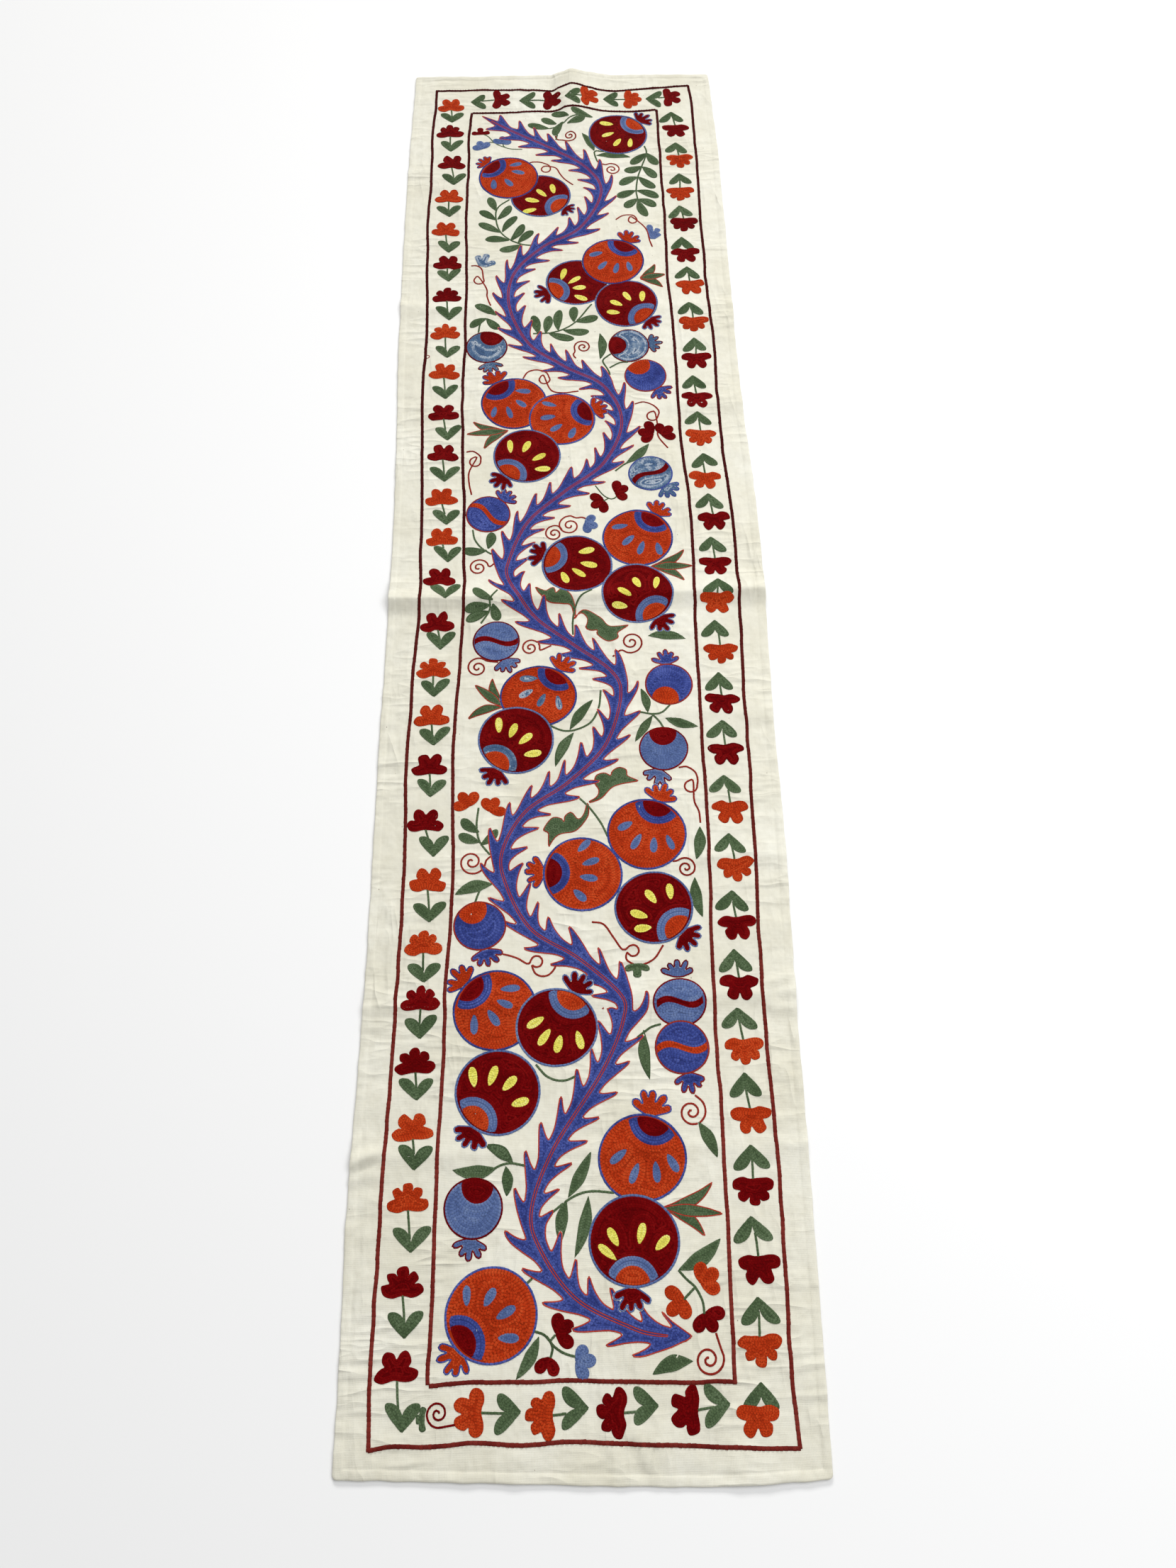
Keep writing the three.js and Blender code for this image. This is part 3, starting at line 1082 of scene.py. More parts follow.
def sprigs():
    # far end to near end
    stem((52, 936), (35, 941), (12, 933), (1, 923), (-12, 917), (-23, 914))
    stem((-1, 920), (-8, 905), (-12, 886))
    for b, t in (
        ((10, 937), (-19, 950)),
        ((-11, 924), (-36, 939)),
        ((-23, 914), (-59, 925)),
        ((0, 926), (-15, 897)),
        ((7, 920), (37, 937)),
        ((50, 936), (14, 954)),
    ):
        leaf(b, t, 12.5, blunt=True)
    spiral((11, 893), 13, (-2, 885), ccw=True, tail=((-13, 896), (-10, 887)))
    leaf((51, 859), (31, 899), 12)
    stem((67, 856), (52, 858), (52, 847), (56, 832))
    leaf((54, 847), (111, 842), 13, 0.06)
    spiral((79, 814), 15, (67, 825), ccw=False, tail=((55, 834),))
    curl(
        [(-56, 833), (-45, 835), (-34, 833), (-24, 827)],
        (-29, 818),
        [(-13, 820), (-6, 806), (2, 793), (15, 780)],
        ccw=False,
    )
    stem((-138, 906), (-125, 898), (-112, 880), (-90, 868), (-68, 865), width=2.0)
    stem((-99, 884), (-100, 876), (-96, 870), width=2.0)
    stem((-134, 880), (-122, 884), (-114, 882), width=2.0)
    fill(
        fan((-137, 902), 95, [(-68, 16, 4.6, False), (0, 17, 5.2, False), (68, 16, 4.6, False)], 7, 4),
        "dark_red",
        pitch=2.0,
        stitch=2.9,
    )
    bloom((-136, 877), 115, "light_blue", 0.95)
    bloom((-101, 888), 85, "light_blue", 0.9)
    stem((134, 868), (137, 851), (128, 820), (121, 796), (117, 765), (119, 743))
    for b, t in (
        ((136, 850), (110, 826)),
        ((128, 820), (99, 810)),
        ((121, 796), (90, 779)),
        ((116, 765), (85, 751)),
        ((118, 746), (97, 727)),
        ((137, 851), (154, 823)),
        ((129, 819), (151, 794)),
        ((122, 796), (148, 770)),
        ((118, 765), (153, 749)),
        ((119, 745), (148, 729)),
        ((119, 743), (132, 706)),
    ):
        leaf(b, t, 13.4, blunt=True)
    stem((-88, 749), (-105, 734), (-110, 716), (-105, 684), (-90, 662), (-68, 649), (-50, 646))
    for b, t in (
        ((-110, 725), (-121, 755)),
        ((-110, 704), (-136, 725)),
        ((-107, 705), (-86, 735)),
        ((-99, 677), (-76, 710)),
        ((-102, 676), (-137, 697)),
        ((-86, 657), (-65, 692)),
        ((-74, 652), (-50, 678)),
        ((-88, 658), (-126, 662)),
        ((-66, 648), (-103, 637)),
    ):
        leaf(b, t, 12.2, blunt=True)
    curl(
        [(82, 699), (90, 706), (99, 709), (110, 708)],
        (109, 698),
        [(124, 687), (131, 674), (134, 655), (138, 639)],
        ccw=False,
        radius=7,
    )
    fill(
        fan((139, 656), 85, [(-42, 17, 4.0, False), (-19, 25, 4.8, False), (13, 32, 5.2, False)], 14, 4),
        "light_blue",
        pitch=2.0,
        stitch=2.9,
    )
    flame((114, 571), ((141, 604), (158, 580), (152, 551)), "green", "vine_red", 11)
    fill(
        fan((-130, 603), 70, [(-45, 23, 5.2, False), (4, 28, 5.6, False), (38, 25, 5.4, False)], 12, 6),
        "grey_blue",
        pitch=2.0,
        stitch=2.9,
    )
    curl(
        [(-147, 605), (-138, 605), (-130, 597)],
        (-134, 574),
        [(-122, 556), (-121, 540), (-115, 518)],
        radius=8,
        ccw=False,
    )
    stem((-121, 494), (-130, 484), (-133, 466))
    leaf((-106, 500), (-139, 521), 13, blunt=True)
    leaf((-121, 494), (-146, 477), 12, blunt=True)
    leaf((-121, 494), (-101, 472), 12, blunt=True)
    stem((40, 519), (15, 485), (-4, 470), (-25, 463), (-50, 462))
    for b, t in (
        ((-42, 462), (-50, 498)),
        ((-31, 463), (-25, 497)),
        ((-12, 468), (-9, 508)),
        ((12, 485), (13, 514)),
        ((15, 485), (49, 494)),
        ((-4, 468), (35, 465)),
        ((-27, 463), (12, 450)),
    ):
        leaf(b, t, 12.6, blunt=True)
    leaf((51, 461), (50, 409), 12, 0.08)
    stem((72, 423), (60, 414), (54, 406), (60, 392), (64, 380), (62, 360))
    stem((96, 403), (80, 402), (64, 392))
    spiral((25, 434), 14, (13, 425), ccw=False, tail=((14, 412), (10, 419)))
    curl(
        [(-65, 374), (-58, 387), (-45, 391), (-31, 386)],
        (-33, 372),
        [(-24, 352), (-6, 346), (17, 349)],
        ccw=False,
        radius=8,
    )
    flame((-84, 278), ((-140, 297), (-150, 272), (-122, 242)), "green", "vine_red", 11)
    curl(
        [(-146, 240), (-136, 241), (-126, 232)],
        (-133, 222),
        [(-141, 205), (-141, 185), (-137, 164)],
        ccw=False,
        radius=8,
    )
    curl(
        [(99, 321), (112, 325), (126, 318), (134, 308)],
        (124, 299),
        [(131, 280), (131, 262), (144, 241)],
        ccw=False,
        radius=8,
    )
    bloom((113, 270), 170, "dark_red", 1.15)
    bloom((143, 273), 45, "dark_red", 1.1)
    leaf((117, 249), (82, 214), 12)
    stem((99, 222), (82, 214), (67, 201))
    stem((38, 176), (50, 158), (62, 152), (70, 160), width=2.0)
    stem((56, 153), (47, 148), (43, 142), width=2.0)
    bloom((75, 168), 25, "dark_red", 1.05)
    bloom((41, 144), 215, "dark_red", 1.05)
    spiral((1, 108), 18, (10, 121), ccw=True, tail=((26, 118), (18, 122)))
    spiral((-21, 95), 15, (-10, 101), ccw=True)
    bloom((31, 109), -20, "light_blue", 0.95)
    stem((-134, 104), (-131, 88), (-122, 74), (-106, 62), (-96, 58))
    leaf((-112, 72), (-107, 99), 12.5, blunt=True)
    leaf((-114, 69), (-148, 70), 12.5, blunt=True)
    spiral((-125, 41), 15, (-110, 42), ccw=True, tail=((-101, 50),))
    flame((109, 38), ((160, 68), (171, 38), (158, 10)), "green", "vine_red", 11)
    acanthus(((6, -40), (1, -18), (-18, -15), (-34, -8), (-49, 9)), -1)
    acanthus(((4, -44), (14, -32), (31, -41), (50, -62), (82, -53)), -1)
    stem((30, -1), (14, -12), (6, -29), (3, -48), (3, -68))
    stem((-98, 2), (-108, -14), (-108, -27), (-120, -48))
    for b, t in (
        ((-104, -15), (-131, 5)),
        ((-108, -22), (-142, -28)),
        ((-104, -20), (-97, -44)),
        ((-110, -30), (-140, -44)),
    ):
        leaf(b, t, 12.5, blunt=True)
    spiral((-54, -87), 14, (-41, -91), ccw=True, tail=((-26, -84),))
    spiral((-123, -116), 16, (-110, -106), ccw=True, tail=((-96, -108),))
    spiral((80, -81), 18, (66, -93), ccw=True, tail=((55, -103),))
    leaf((103, -72), (153, -78), 13, 0.08)
    flame((-88, -176), ((-103, -130), (-128, -140), (-136, -194)), "green", "vine_red", 11)
    stem((-29, -203), (-12, -211), (5, -210), (25, -199), (35, -178), (38, -153))
    leaf((-3, -210), (28, -166), 12)
    leaf((2, -214), (-22, -262), 12)
    stem((127, -177), (116, -188), (103, -190), (84, -187), (66, -196))
    stem((103, -190), (112, -200), (117, -209))
    leaf((98, -188), (90, -151), 10)
    leaf((104, -192), (80, -229), 10)
    leaf((120, -196), (162, -209), 11)
    curl(
        [(134, -266), (144, -265), (154, -272), (157, -282)],
        (148, -292),
        [(151, -312), (156, -326), (157, -342)],
        ccw=False,
        radius=8,
    )
    acanthus(((19, -312), (34, -304), (44, -288), (60, -281), (86, -284)), 1)
    acanthus(((18, -312), (12, -338), (-8, -345), (-24, -350), (-32, -374)), -1)
    stem((3, -301), (14, -312), (21, -320), (34, -340), (45, -366))
    stem((-118, -316), (-120, -340), (-116, -361), (-103, -379))
    bloom((-135, -305), 120, "orange", 1.05)
    bloom((-99, -313), 60, "orange", 1.0)
    leaf((-117, -349), (-139, -331), 11.5, blunt=True)
    leaf((-116, -362), (-142, -352), 11.5, blunt=True)
    leaf((-115, -366), (-94, -346), 10, blunt=True)
    spiral((-125, -388), 18, (-107, -386), ccw=False, tail=((-98, -378),))
    leaf((156, -347), (149, -391), 13, 0.05)
    spiral((136, -401), 14, (124, -392), ccw=False, tail=((112, -392),))
    leaf((146, -413), (153, -464), 13, -0.06)
    leaf((-99, -417), (-145, -430), 14, -0.08)
    stem((-102, -418), (-113, -422), (-120, -440))
    curl(
        [(-100, -505), (-88, -504), (-70, -509), (-56, -517)],
        (-46, -514),
        [(-47, -529), (-36, -532), (-27, -526), (-20, -512)],
        ccw=False,
        radius=7,
    )
    curl(
        [(20, -467), (34, -470), (45, -486), (56, -502)],
        (68, -503),
        [(60, -514), (74, -521), (92, -514), (104, -497)],
        ccw=False,
        radius=7,
    )
    fill(
        fan(
            (72, -519),
            -90,
            [(-62, 17, 4.0, True), (0, 17, 5.0, False), (62, 17, 4.0, True)],
            8,
            4,
        ),
        "green",
    )
    stem((-47, -634), (-34, -648), (-16, -653), (3, -646))
    leaf((77, -597), (82, -654), 12, -0.05)
    stem((97, -591), (86, -594), (77, -600), (62, -611))
    spiral((127, -690), 17, (139, -678), ccw=False, tail=((127, -668),))
    leaf((134, -701), (153, -740), 12, 0.04)
    stem((-55, -745), (-76, -741), (-92, -746), (-105, -757))
    leaf((-90, -746), (-139, -747), 14, 0.08)
    leaf((-72, -741), (-104, -721), 12, -0.08)
    leaf((-80, -744), (-79, -776), 11, 0.05)
    leaf((-12, -778), (14, -730), 12)
    stem((38, -774), (12, -772), (-8, -778), (-31, -794))
    leaf((-14, -780), (-21, -826), 12)
    leaf((10, -777), (-6, -839), 12, 0.05)
    flame((88, -790), ((148, -762), (158, -798), (136, -823)), "green", "vine_red", 11)
    stem((-57, -863), (-46, -855), (-34, -855))
    stem((-49, -909), (-38, -913), (-30, -924), (-33, -937))
    stem((-36, -914), (-28, -924), (-16, -931), (0, -935))
    stem((-32, -918), (-26, -912), (-22, -910))
    bloom((-17, -907), 25, "dark_red", 1.05)
    bloom((-35, -943), 262, "dark_red", 0.95, 2)
    bloom((4, -938), 2, "light_blue", 1.0)
    leaf((-44, -914), (-68, -954), 11, 0.05)
    leaf((104, -853), (151, -822), 15, -0.08)
    stem((104, -853), (112, -862), (121, -870), (128, -884), (129, -896))
    stem((121, -870), (112, -878), (108, -882))
    bloom((136, -860), 35, "orange", 1.12)
    bloom((100, -887), 215, "orange", 1.08)
    bloom((135, -904), -60, "dark_red", 1.05)
    spiral((131, -939), 17, (144, -928), ccw=False, tail=((140, -914),))
    leaf((114.5, -940), (72, -952), 14, -0.1)
    # near left corner
    fill(
        fan(
            (-160, -988),
            180,
            [(-75, 12, 3.8, True), (0, 9, 4.5, False), (75, 12, 3.8, True)],
            6,
            5,
        ),
        "green",
    )
    spiral((-147, -983), 14, (-134, -994), ccw=False, thread="dark_red", width=2.4, tail=((-126, -993),))
    curl([(-214, 413), (-211, 416)], (-208, 420), [(-211, 424), (-214, 428)], radius=3, width=1.2)


sprigs()
vine()
for c, crown_at, main, mark, edge, extra in LITTLE:
    little_fruit(c, crown_at, main, mark, edge, **extra)
for kind, c, crown_at, seeds, extra in BIG:
    pomegranate(kind, c, crown_at, seeds, **extra)
for row in LEFT_FLOWERS + RIGHT_FLOWERS + END_FLOWERS:
    border_flower(*row)
border_lines()


# ------------------------------------------------------------------ from outlines to rows of stitches
def inside_and_distance(px, py, ring_points):
    """Signed distance of each point to a closed outline, positive inside."""
    a = ring_points.astype(np.float32)
    b = np.roll(a, -1, 0)
    n = len(px)
    out = np.empty(n, np.float32)
    chunk = max(1, int(3e6 // len(a)))
    e = b - a
    ee = np.maximum((e**2).sum(1), 1e-9)
    for i in range(0, n, chunk):
        x = px[i : i + chunk, None].astype(np.float32)
        y = py[i : i + chunk, None].astype(np.float32)
        dx, dy = x - a[:, 0], y - a[:, 1]
        t = np.clip((dx * e[:, 0] + dy * e[:, 1]) / ee, 0, 1)
        d = np.sqrt(
            ((dx - t * e[:, 0]) ** 2 + (dy - t * e[:, 1]) ** 2).min(1)
        )
        cross = (a[:, 1] > y) != (b[:, 1] > y)
        slope = np.where(np.abs(e[:, 1]) < 1e-9, 1e-9, e[:, 1])
        hit = cross & (x < e[:, 0] * (y - a[:, 1]) / slope + a[:, 0])
        out[i : i + chunk] = np.where(hit.sum(1) % 2 == 1, d, -d)
    return out


def near_part(outline, low, high, reach):
    """The outline's stretches that matter between two heights, as a, b pairs."""
    b = np.roll(outline, -1, 0)
    lo = np.minimum(outline[:, 1], b[:, 1])
    hi = np.maximum(outline[:, 1], b[:, 1])
    keep = (hi > low - reach) & (lo < high + reach)
    return outline[keep], b[keep]


def signed(px, py, outline):
    """As inside_and_distance, in bands, so that a long outline stays quick."""
    if len(outline) < 700:
        return inside_and_distance(px, py, outline)
    out = np.full(len(px), -30.0, np.float32)
    for low in np.arange(py.min(), py.max() + 1, 30.0):
        here = np.flatnonzero((py >= low) & (py < low + 30))
        if not len(here):
            continue
        a, b = near_part(outline, low, low + 30, 16)
        if not len(a):
            continue
        e = b - a
        ee = np.maximum((e**2).sum(1), 1e-9)
        slope = np.where(np.abs(e[:, 1]) < 1e-9, 1e-9, e[:, 1])
        chunk = max(1, int(3e6 // len(a)))
        for i in range(0, len(here), chunk):
            k = here[i : i + chunk]
            x, y = px[k, None], py[k, None]
            dx, dy = x - a[:, 0], y - a[:, 1]
            t = np.clip((dx * e[:, 0] + dy * e[:, 1]) / ee, 0, 1)
            d = np.sqrt(((dx - t * e[:, 0]) ** 2 + (dy - t * e[:, 1]) ** 2).min(1))
            cross = (a[:, 1] > y) != (b[:, 1] > y)
            hit = cross & (x < e[:, 0] * (y - a[:, 1]) / slope + a[:, 0])
            out[k] = np.where(hit.sum(1) % 2 == 1, d, -d)
    return out


# which edges of a cell a contour joins, by the corners above the level
CELL = {
    1: ((3, 0),),
    2: ((0, 1),),
    3: ((3, 1),),
    4: ((1, 2),),
    5: ((3, 0), (1, 2)),
    6: ((0, 2),),
    7: ((3, 2),),
    8: ((2, 3),),
    9: ((2, 0),),
    10: ((0, 1), (2, 3)),
    11: ((2, 1),),
    12: ((1, 3),),
    13: ((1, 0),),
    14: ((0, 3),),
}


def contours(field, level, x0, y0, g):
    """Closed lines at level through a grid of values that is lower all round its rim."""
    high, wide = field.shape
    up = field > level
    case = (
        up[:-1, :-1] * 1 + up[:-1, 1:] * 2 + up[1:, 1:] * 4 + up[1:, :-1] * 8
    ).astype(int)
    rows, cols = np.nonzero((case > 0) & (case < 15))
    if not len(rows):
        return []
    kinds = case[rows, cols]
    shift = high * wide

    def edge_id(side, i, j):
        return (
            i * wide + j
            if side == 0
            else (i + 1) * wide + j
            if side == 2
            else shift + i * wide + j
            if side == 3
            else shift + i * wide + j + 1
        )

    flat = field.ravel()

    def spot(e):
        if e < shift:
            i, j = divmod(e, wide)
            a, b = flat[e], flat[e + 1]
            t = (level - a) / (b - a)
            return (x0 + (j + t) * g, y0 + i * g)
        i, j = divmod(e - shift, wide)
        a, b = flat[e - shift], flat[e - shift + wide]
        t = (level - a) / (b - a)
        return (x0 + j * g, y0 + (i + t) * g)

    links = {}
    for i, j, k in zip(rows.tolist(), cols.tolist(), kinds.tolist()):
        for p, q in CELL[k]:
            links[edge_id(p, i, j)] = edge_id(q, i, j)
    lines = []
    while links:
        start, nxt = links.popitem()
        chain = [start]
        while nxt != start:
            chain.append(nxt)
            nxt = links.pop(nxt, None)
            if nxt is None:
                break
        if len(chain) > 3:
            lines.append(np.array([spot(e) for e in chain]))
    return lines


for w in WORK:
    pts = w.get("outline", w.get("line"))
    w["low"], w["high"] = pts.min(0), pts.max(0)

ROWS = {}  # thread: list of (start points, end points, width, height, row tone)
UNDER = {}  # thread: list of (points, triangles)


def overlaps(a, b, room=0.0):
    return bool(np.all(a["low"] - room < b["high"]) and np.all(b["low"] - room < a["high"]))


def lay(points, closed, thread, width, stitch, high, blockers, tone=None, under=0.0):
    """One row of stitches along points."""
    if closed:
        points = np.vstack([points, points[:1]])
    run = np.r_[0, np.cumsum(np.hypot(*np.diff(points, axis=0).T))]
    total = run[-1]
    if total < 1.6:
        return
    n = max(1, round(total / stitch))
    # hand-made: stitches a little longer and shorter
    cuts = np.arange(n + 1) / n * total
    if n > 2:
        cuts[1:-1] += DICE.uniform(-0.16, 0.16, n - 1) * total / n
    over = 0.32 * stitch
    s0 = cuts[:-1]
    s1 = cuts[1:] + over
    if closed:
        first = DICE.uniform(0, total)
        s0, s1 = (s0 + first) % total, (s1 + first) % total
    else:
        s1 = np.minimum(s1, total + 0.25 * over)
    a = np.stack([np.interp(s0, run, points[:, k]) for k in (0, 1)], 1)
    b = np.stack([np.interp(s1, run, points[:, k]) for k in (0, 1)], 1)
    keep = np.hypot(*(b - a).T) > 0.35 * stitch
    if len(blockers):
        mid = (a + b) / 2
        for w in blockers:
            near = keep & np.all(mid > w["low"] - 1, 1) & np.all(mid < w["high"] + 1, 1)
            k = np.flatnonzero(near)
            if len(k):
                d = signed(mid[k, 0], mid[k, 1], w["outline"])
                keep[k[d > 0.35]] = False
    if len(blockers) and n > 3:
        keep &= np.roll(keep, 1) | np.roll(keep, -1)
    if not keep.any():
        return
    row_tone = DICE.uniform() if tone is None else tone
    # a ribbon of the same thread under the row, darker in colour as painted shade between its stitches
    if under:
        side = np.stack([a[:, 1] - b[:, 1], b[:, 0] - a[:, 0]], 1)
        side = side[keep] / np.hypot(*side[keep].T)[:, None] * width * under / 2
        p, q = a[keep], b[keep]
        corners = np.stack([p - side, p + side, q + side, q - side], 1)
        first = 4 * np.arange(len(p))[:, None]
        tri = np.concatenate([first + [0, 3, 2], first + [0, 2, 1]], 0)
        UNDER.setdefault(thread, []).append((corners.reshape(-1, 2), tri))
    ROWS.setdefault(thread, []).append(
        (a[keep], b[keep], width, high, np.full(keep.sum(), row_tone), 0.1 if under else 0.5)
    )


def underlay(w, blockers, rings=None, inset=0.0):
    """A close layer of the same thread under the rows, darker in colour as painted shade between the
    stitches, cut back where a later motif lies.
    """
    own = w["outline"]
    pts, edges = [], []

    def add(outline):
        start = len(pts)
        keep = [outline[0]]
        for q in outline[1:]:
            if np.hypot(*(q - keep[-1])) > (1.3 if rings else 1.0):
                keep.append(q)
        if len(keep) > 3 and np.hypot(*(keep[0] - keep[-1])) < 0.6:
            keep.pop()
        pts.extend(Vector((float(q[0]), float(q[1]))) for q in keep)
        n = len(keep)
        edges.extend((start + i, start + (i + 1) % n) for i in range(n))

    for ring_line in rings or [own]:
        add(ring_line)
    for b in blockers:
        add(b["outline"])
    gx = np.arange(w["low"][0] + 2, w["high"][0], 5.0)
    gy = np.arange(w["low"][1] + 2, w["high"][1], 5.0)
    sharp = np.arange(-24.0, 10.0, 1.7)
    gy = np.concatenate(
        [
            gy[(gy < -25) | (gy > 11)],
            sharp[(sharp > w["low"][1] + 1) & (sharp < w["high"][1] - 1)],
        ]
    )
    if len(gx) and len(gy):
        mx, my = np.meshgrid(gx, gy)
        mx, my = mx.ravel(), my.ravel()
        d = signed(mx, my, own)
        pts.extend(
            Vector((float(x), float(y)))
            for x, y in zip(mx[d > 1.5], my[d > 1.5])
        )
    got = delaunay_2d_cdt(pts, edges, [], 0, 1e-4)
    xy = np.array([tuple(v) for v in got[0]], float)
    tri = np.array([f for f in got[2] if len(f) == 3], int)
    if not len(tri):
        return
    mid = xy[tri].mean(1)
    near = np.all(mid > w["low"] - 1, 1) & np.all(mid < w["high"] + 1, 1)
    tri, mid = tri[near], mid[near]
    keep = signed(mid[:, 0], mid[:, 1], own) > inset
    for b in blockers:
        k = np.flatnonzero(keep)
        if not len(k):
            return
        keep[k[signed(mid[k, 0], mid[k, 1], b["outline"]) > 0]] = False
    tri = tri[keep]
    a, b, c = xy[tri[:, 0]], xy[tri[:, 1]], xy[tri[:, 2]]
    area = (b[:, 0] - a[:, 0]) * (c[:, 1] - a[:, 1]) - (b[:, 1] - a[:, 1]) * (
        c[:, 0] - a[:, 0]
    )
    tri = np.where((area < 0)[:, None], tri[:, ::-1], tri)[np.abs(area) > 1e-4]
    used, inverse = np.unique(tri, return_inverse=True)
    UNDER.setdefault(w["thread"], []).append((xy[used], inverse.reshape(-1, 3)))


GRID = 0.85
for index, w in enumerate(WORK):
    later = [v for v in WORK[index + 1 :] if "outline" in v and overlaps(w, v, 0.5)]
    if "line" in w:
        lay(
            w["line"],
            False,
            w["thread"],
            w["width"],
            w["stitch"],
            w["fat"],
            later,
            under=0.84,
        )
        continue
    x0, y0 = w["low"] - 2 * GRID
    nx = int((w["high"][0] - x0) / GRID) + 4
    ny = int((w["high"][1] - y0) / GRID) + 4
    mx, my = np.meshgrid(x0 + GRID * np.arange(nx), y0 + GRID * np.arange(ny))
    own = np.full(mx.size, -30.0, np.float32)
    fx, fy = mx.ravel(), my.ravel()
    own[:] = signed(fx, fy, w["outline"])
    own = own.reshape(mx.shape)
    own[0], own[-1], own[:, 0], own[:, -1] = -9, -9, -9, -9
    field = own.copy()
    if w["edge"]:
        wide = w["edge_width"]
        for ring_line in contours(own, wide / 2, x0, y0, GRID):
            lay(
                ring_line,
                True,
                w["edge"],
                wide,
                wide * 1.25 + 0.7,
                1.15,
                later,
                under=0.8,
            )
        field = own - wide * 0.92
    inner = field.ravel() > 0
    flat = field.ravel().copy()
    for v in later:
        k = np.flatnonzero(
            inner
            & (fx > v["low"][0] - 14)
            & (fx < v["high"][0] + 14)
            & (fy > v["low"][1] - 14)
            & (fy < v["high"][1] + 14)
        )
        if len(k):
            flat[k] = np.minimum(flat[k], -signed(fx[k], fy[k], v["outline"]))
    field = flat.reshape(field.shape)
    if w["edge"]:
        under_edge = 0.72 * w["edge_width"]
        rings = contours(own, under_edge, x0, y0, GRID)
        if len(rings):
            underlay(w, later, rings, under_edge - 0.12)
    else:
        underlay(w, later)
    if w["pitch"] > 50:
        continue
    deepest = float(field.max())
    pitch = w["pitch"]
    if deepest < 0.3:
        continue
    first = pitch * 0.48
    if deepest > first:
        # rows a touch closer or wider, so that the last one fills the middle
        n = max(1, round((deepest - first - 0.3 * pitch) / pitch))
        fitted = (deepest - first - 0.3 * pitch) / n
        if 0.82 * pitch < fitted < 1.18 * pitch:
            pitch = fitted
    level = min(first, 0.7 * deepest)
    while level < deepest - 0.12:
        for ring_line in contours(field, level, x0, y0, GRID):
            lay(
                ring_line,
                True,
                w["thread"],
                pitch * 1.2,
                w["stitch"],
                w["fat"],
                [],
            )
        level += pitch

# ------------------------------------------------------------------ meshes
# a stitch as a loop of two strands: along, across, height, all as shares
LOOP = np.array(
    [
        (0.00, 0.00, 0.60),  # where the thread comes up through the last loop
        (0.52, 0.50, 1.00),  # crest of the left strand
        (0.52, -0.50, 1.00),
        (0.22, 0.84, 0.00),  # outer side
        (0.22, -0.84, 0.00),
        (0.82, 0.92, 0.00),
        (0.82, -0.92, 0.00),
        (0.55, 0.00, 0.64),  # the hollow between the strands
        (1.00, 0.00, 0.40),  # head, under the next stitch
    ]
)
LOOP_SIDES = np.array([0, 0, 0, 1, 1, 1, 1, 0, 0], float)
LOOP_FACES = np.array(
    [
        (0, 4, 2),
        (2, 4, 6),
        (8, 2, 6),
        (0, 2, 7),
        (7, 2, 8),
        (0, 1, 3),
        (1, 5, 3),
        (8, 5, 1),
        (0, 7, 1),
        (7, 8, 1),
    ]
)
UNDER_LIFT = 0.2
TRIANGLES = {}


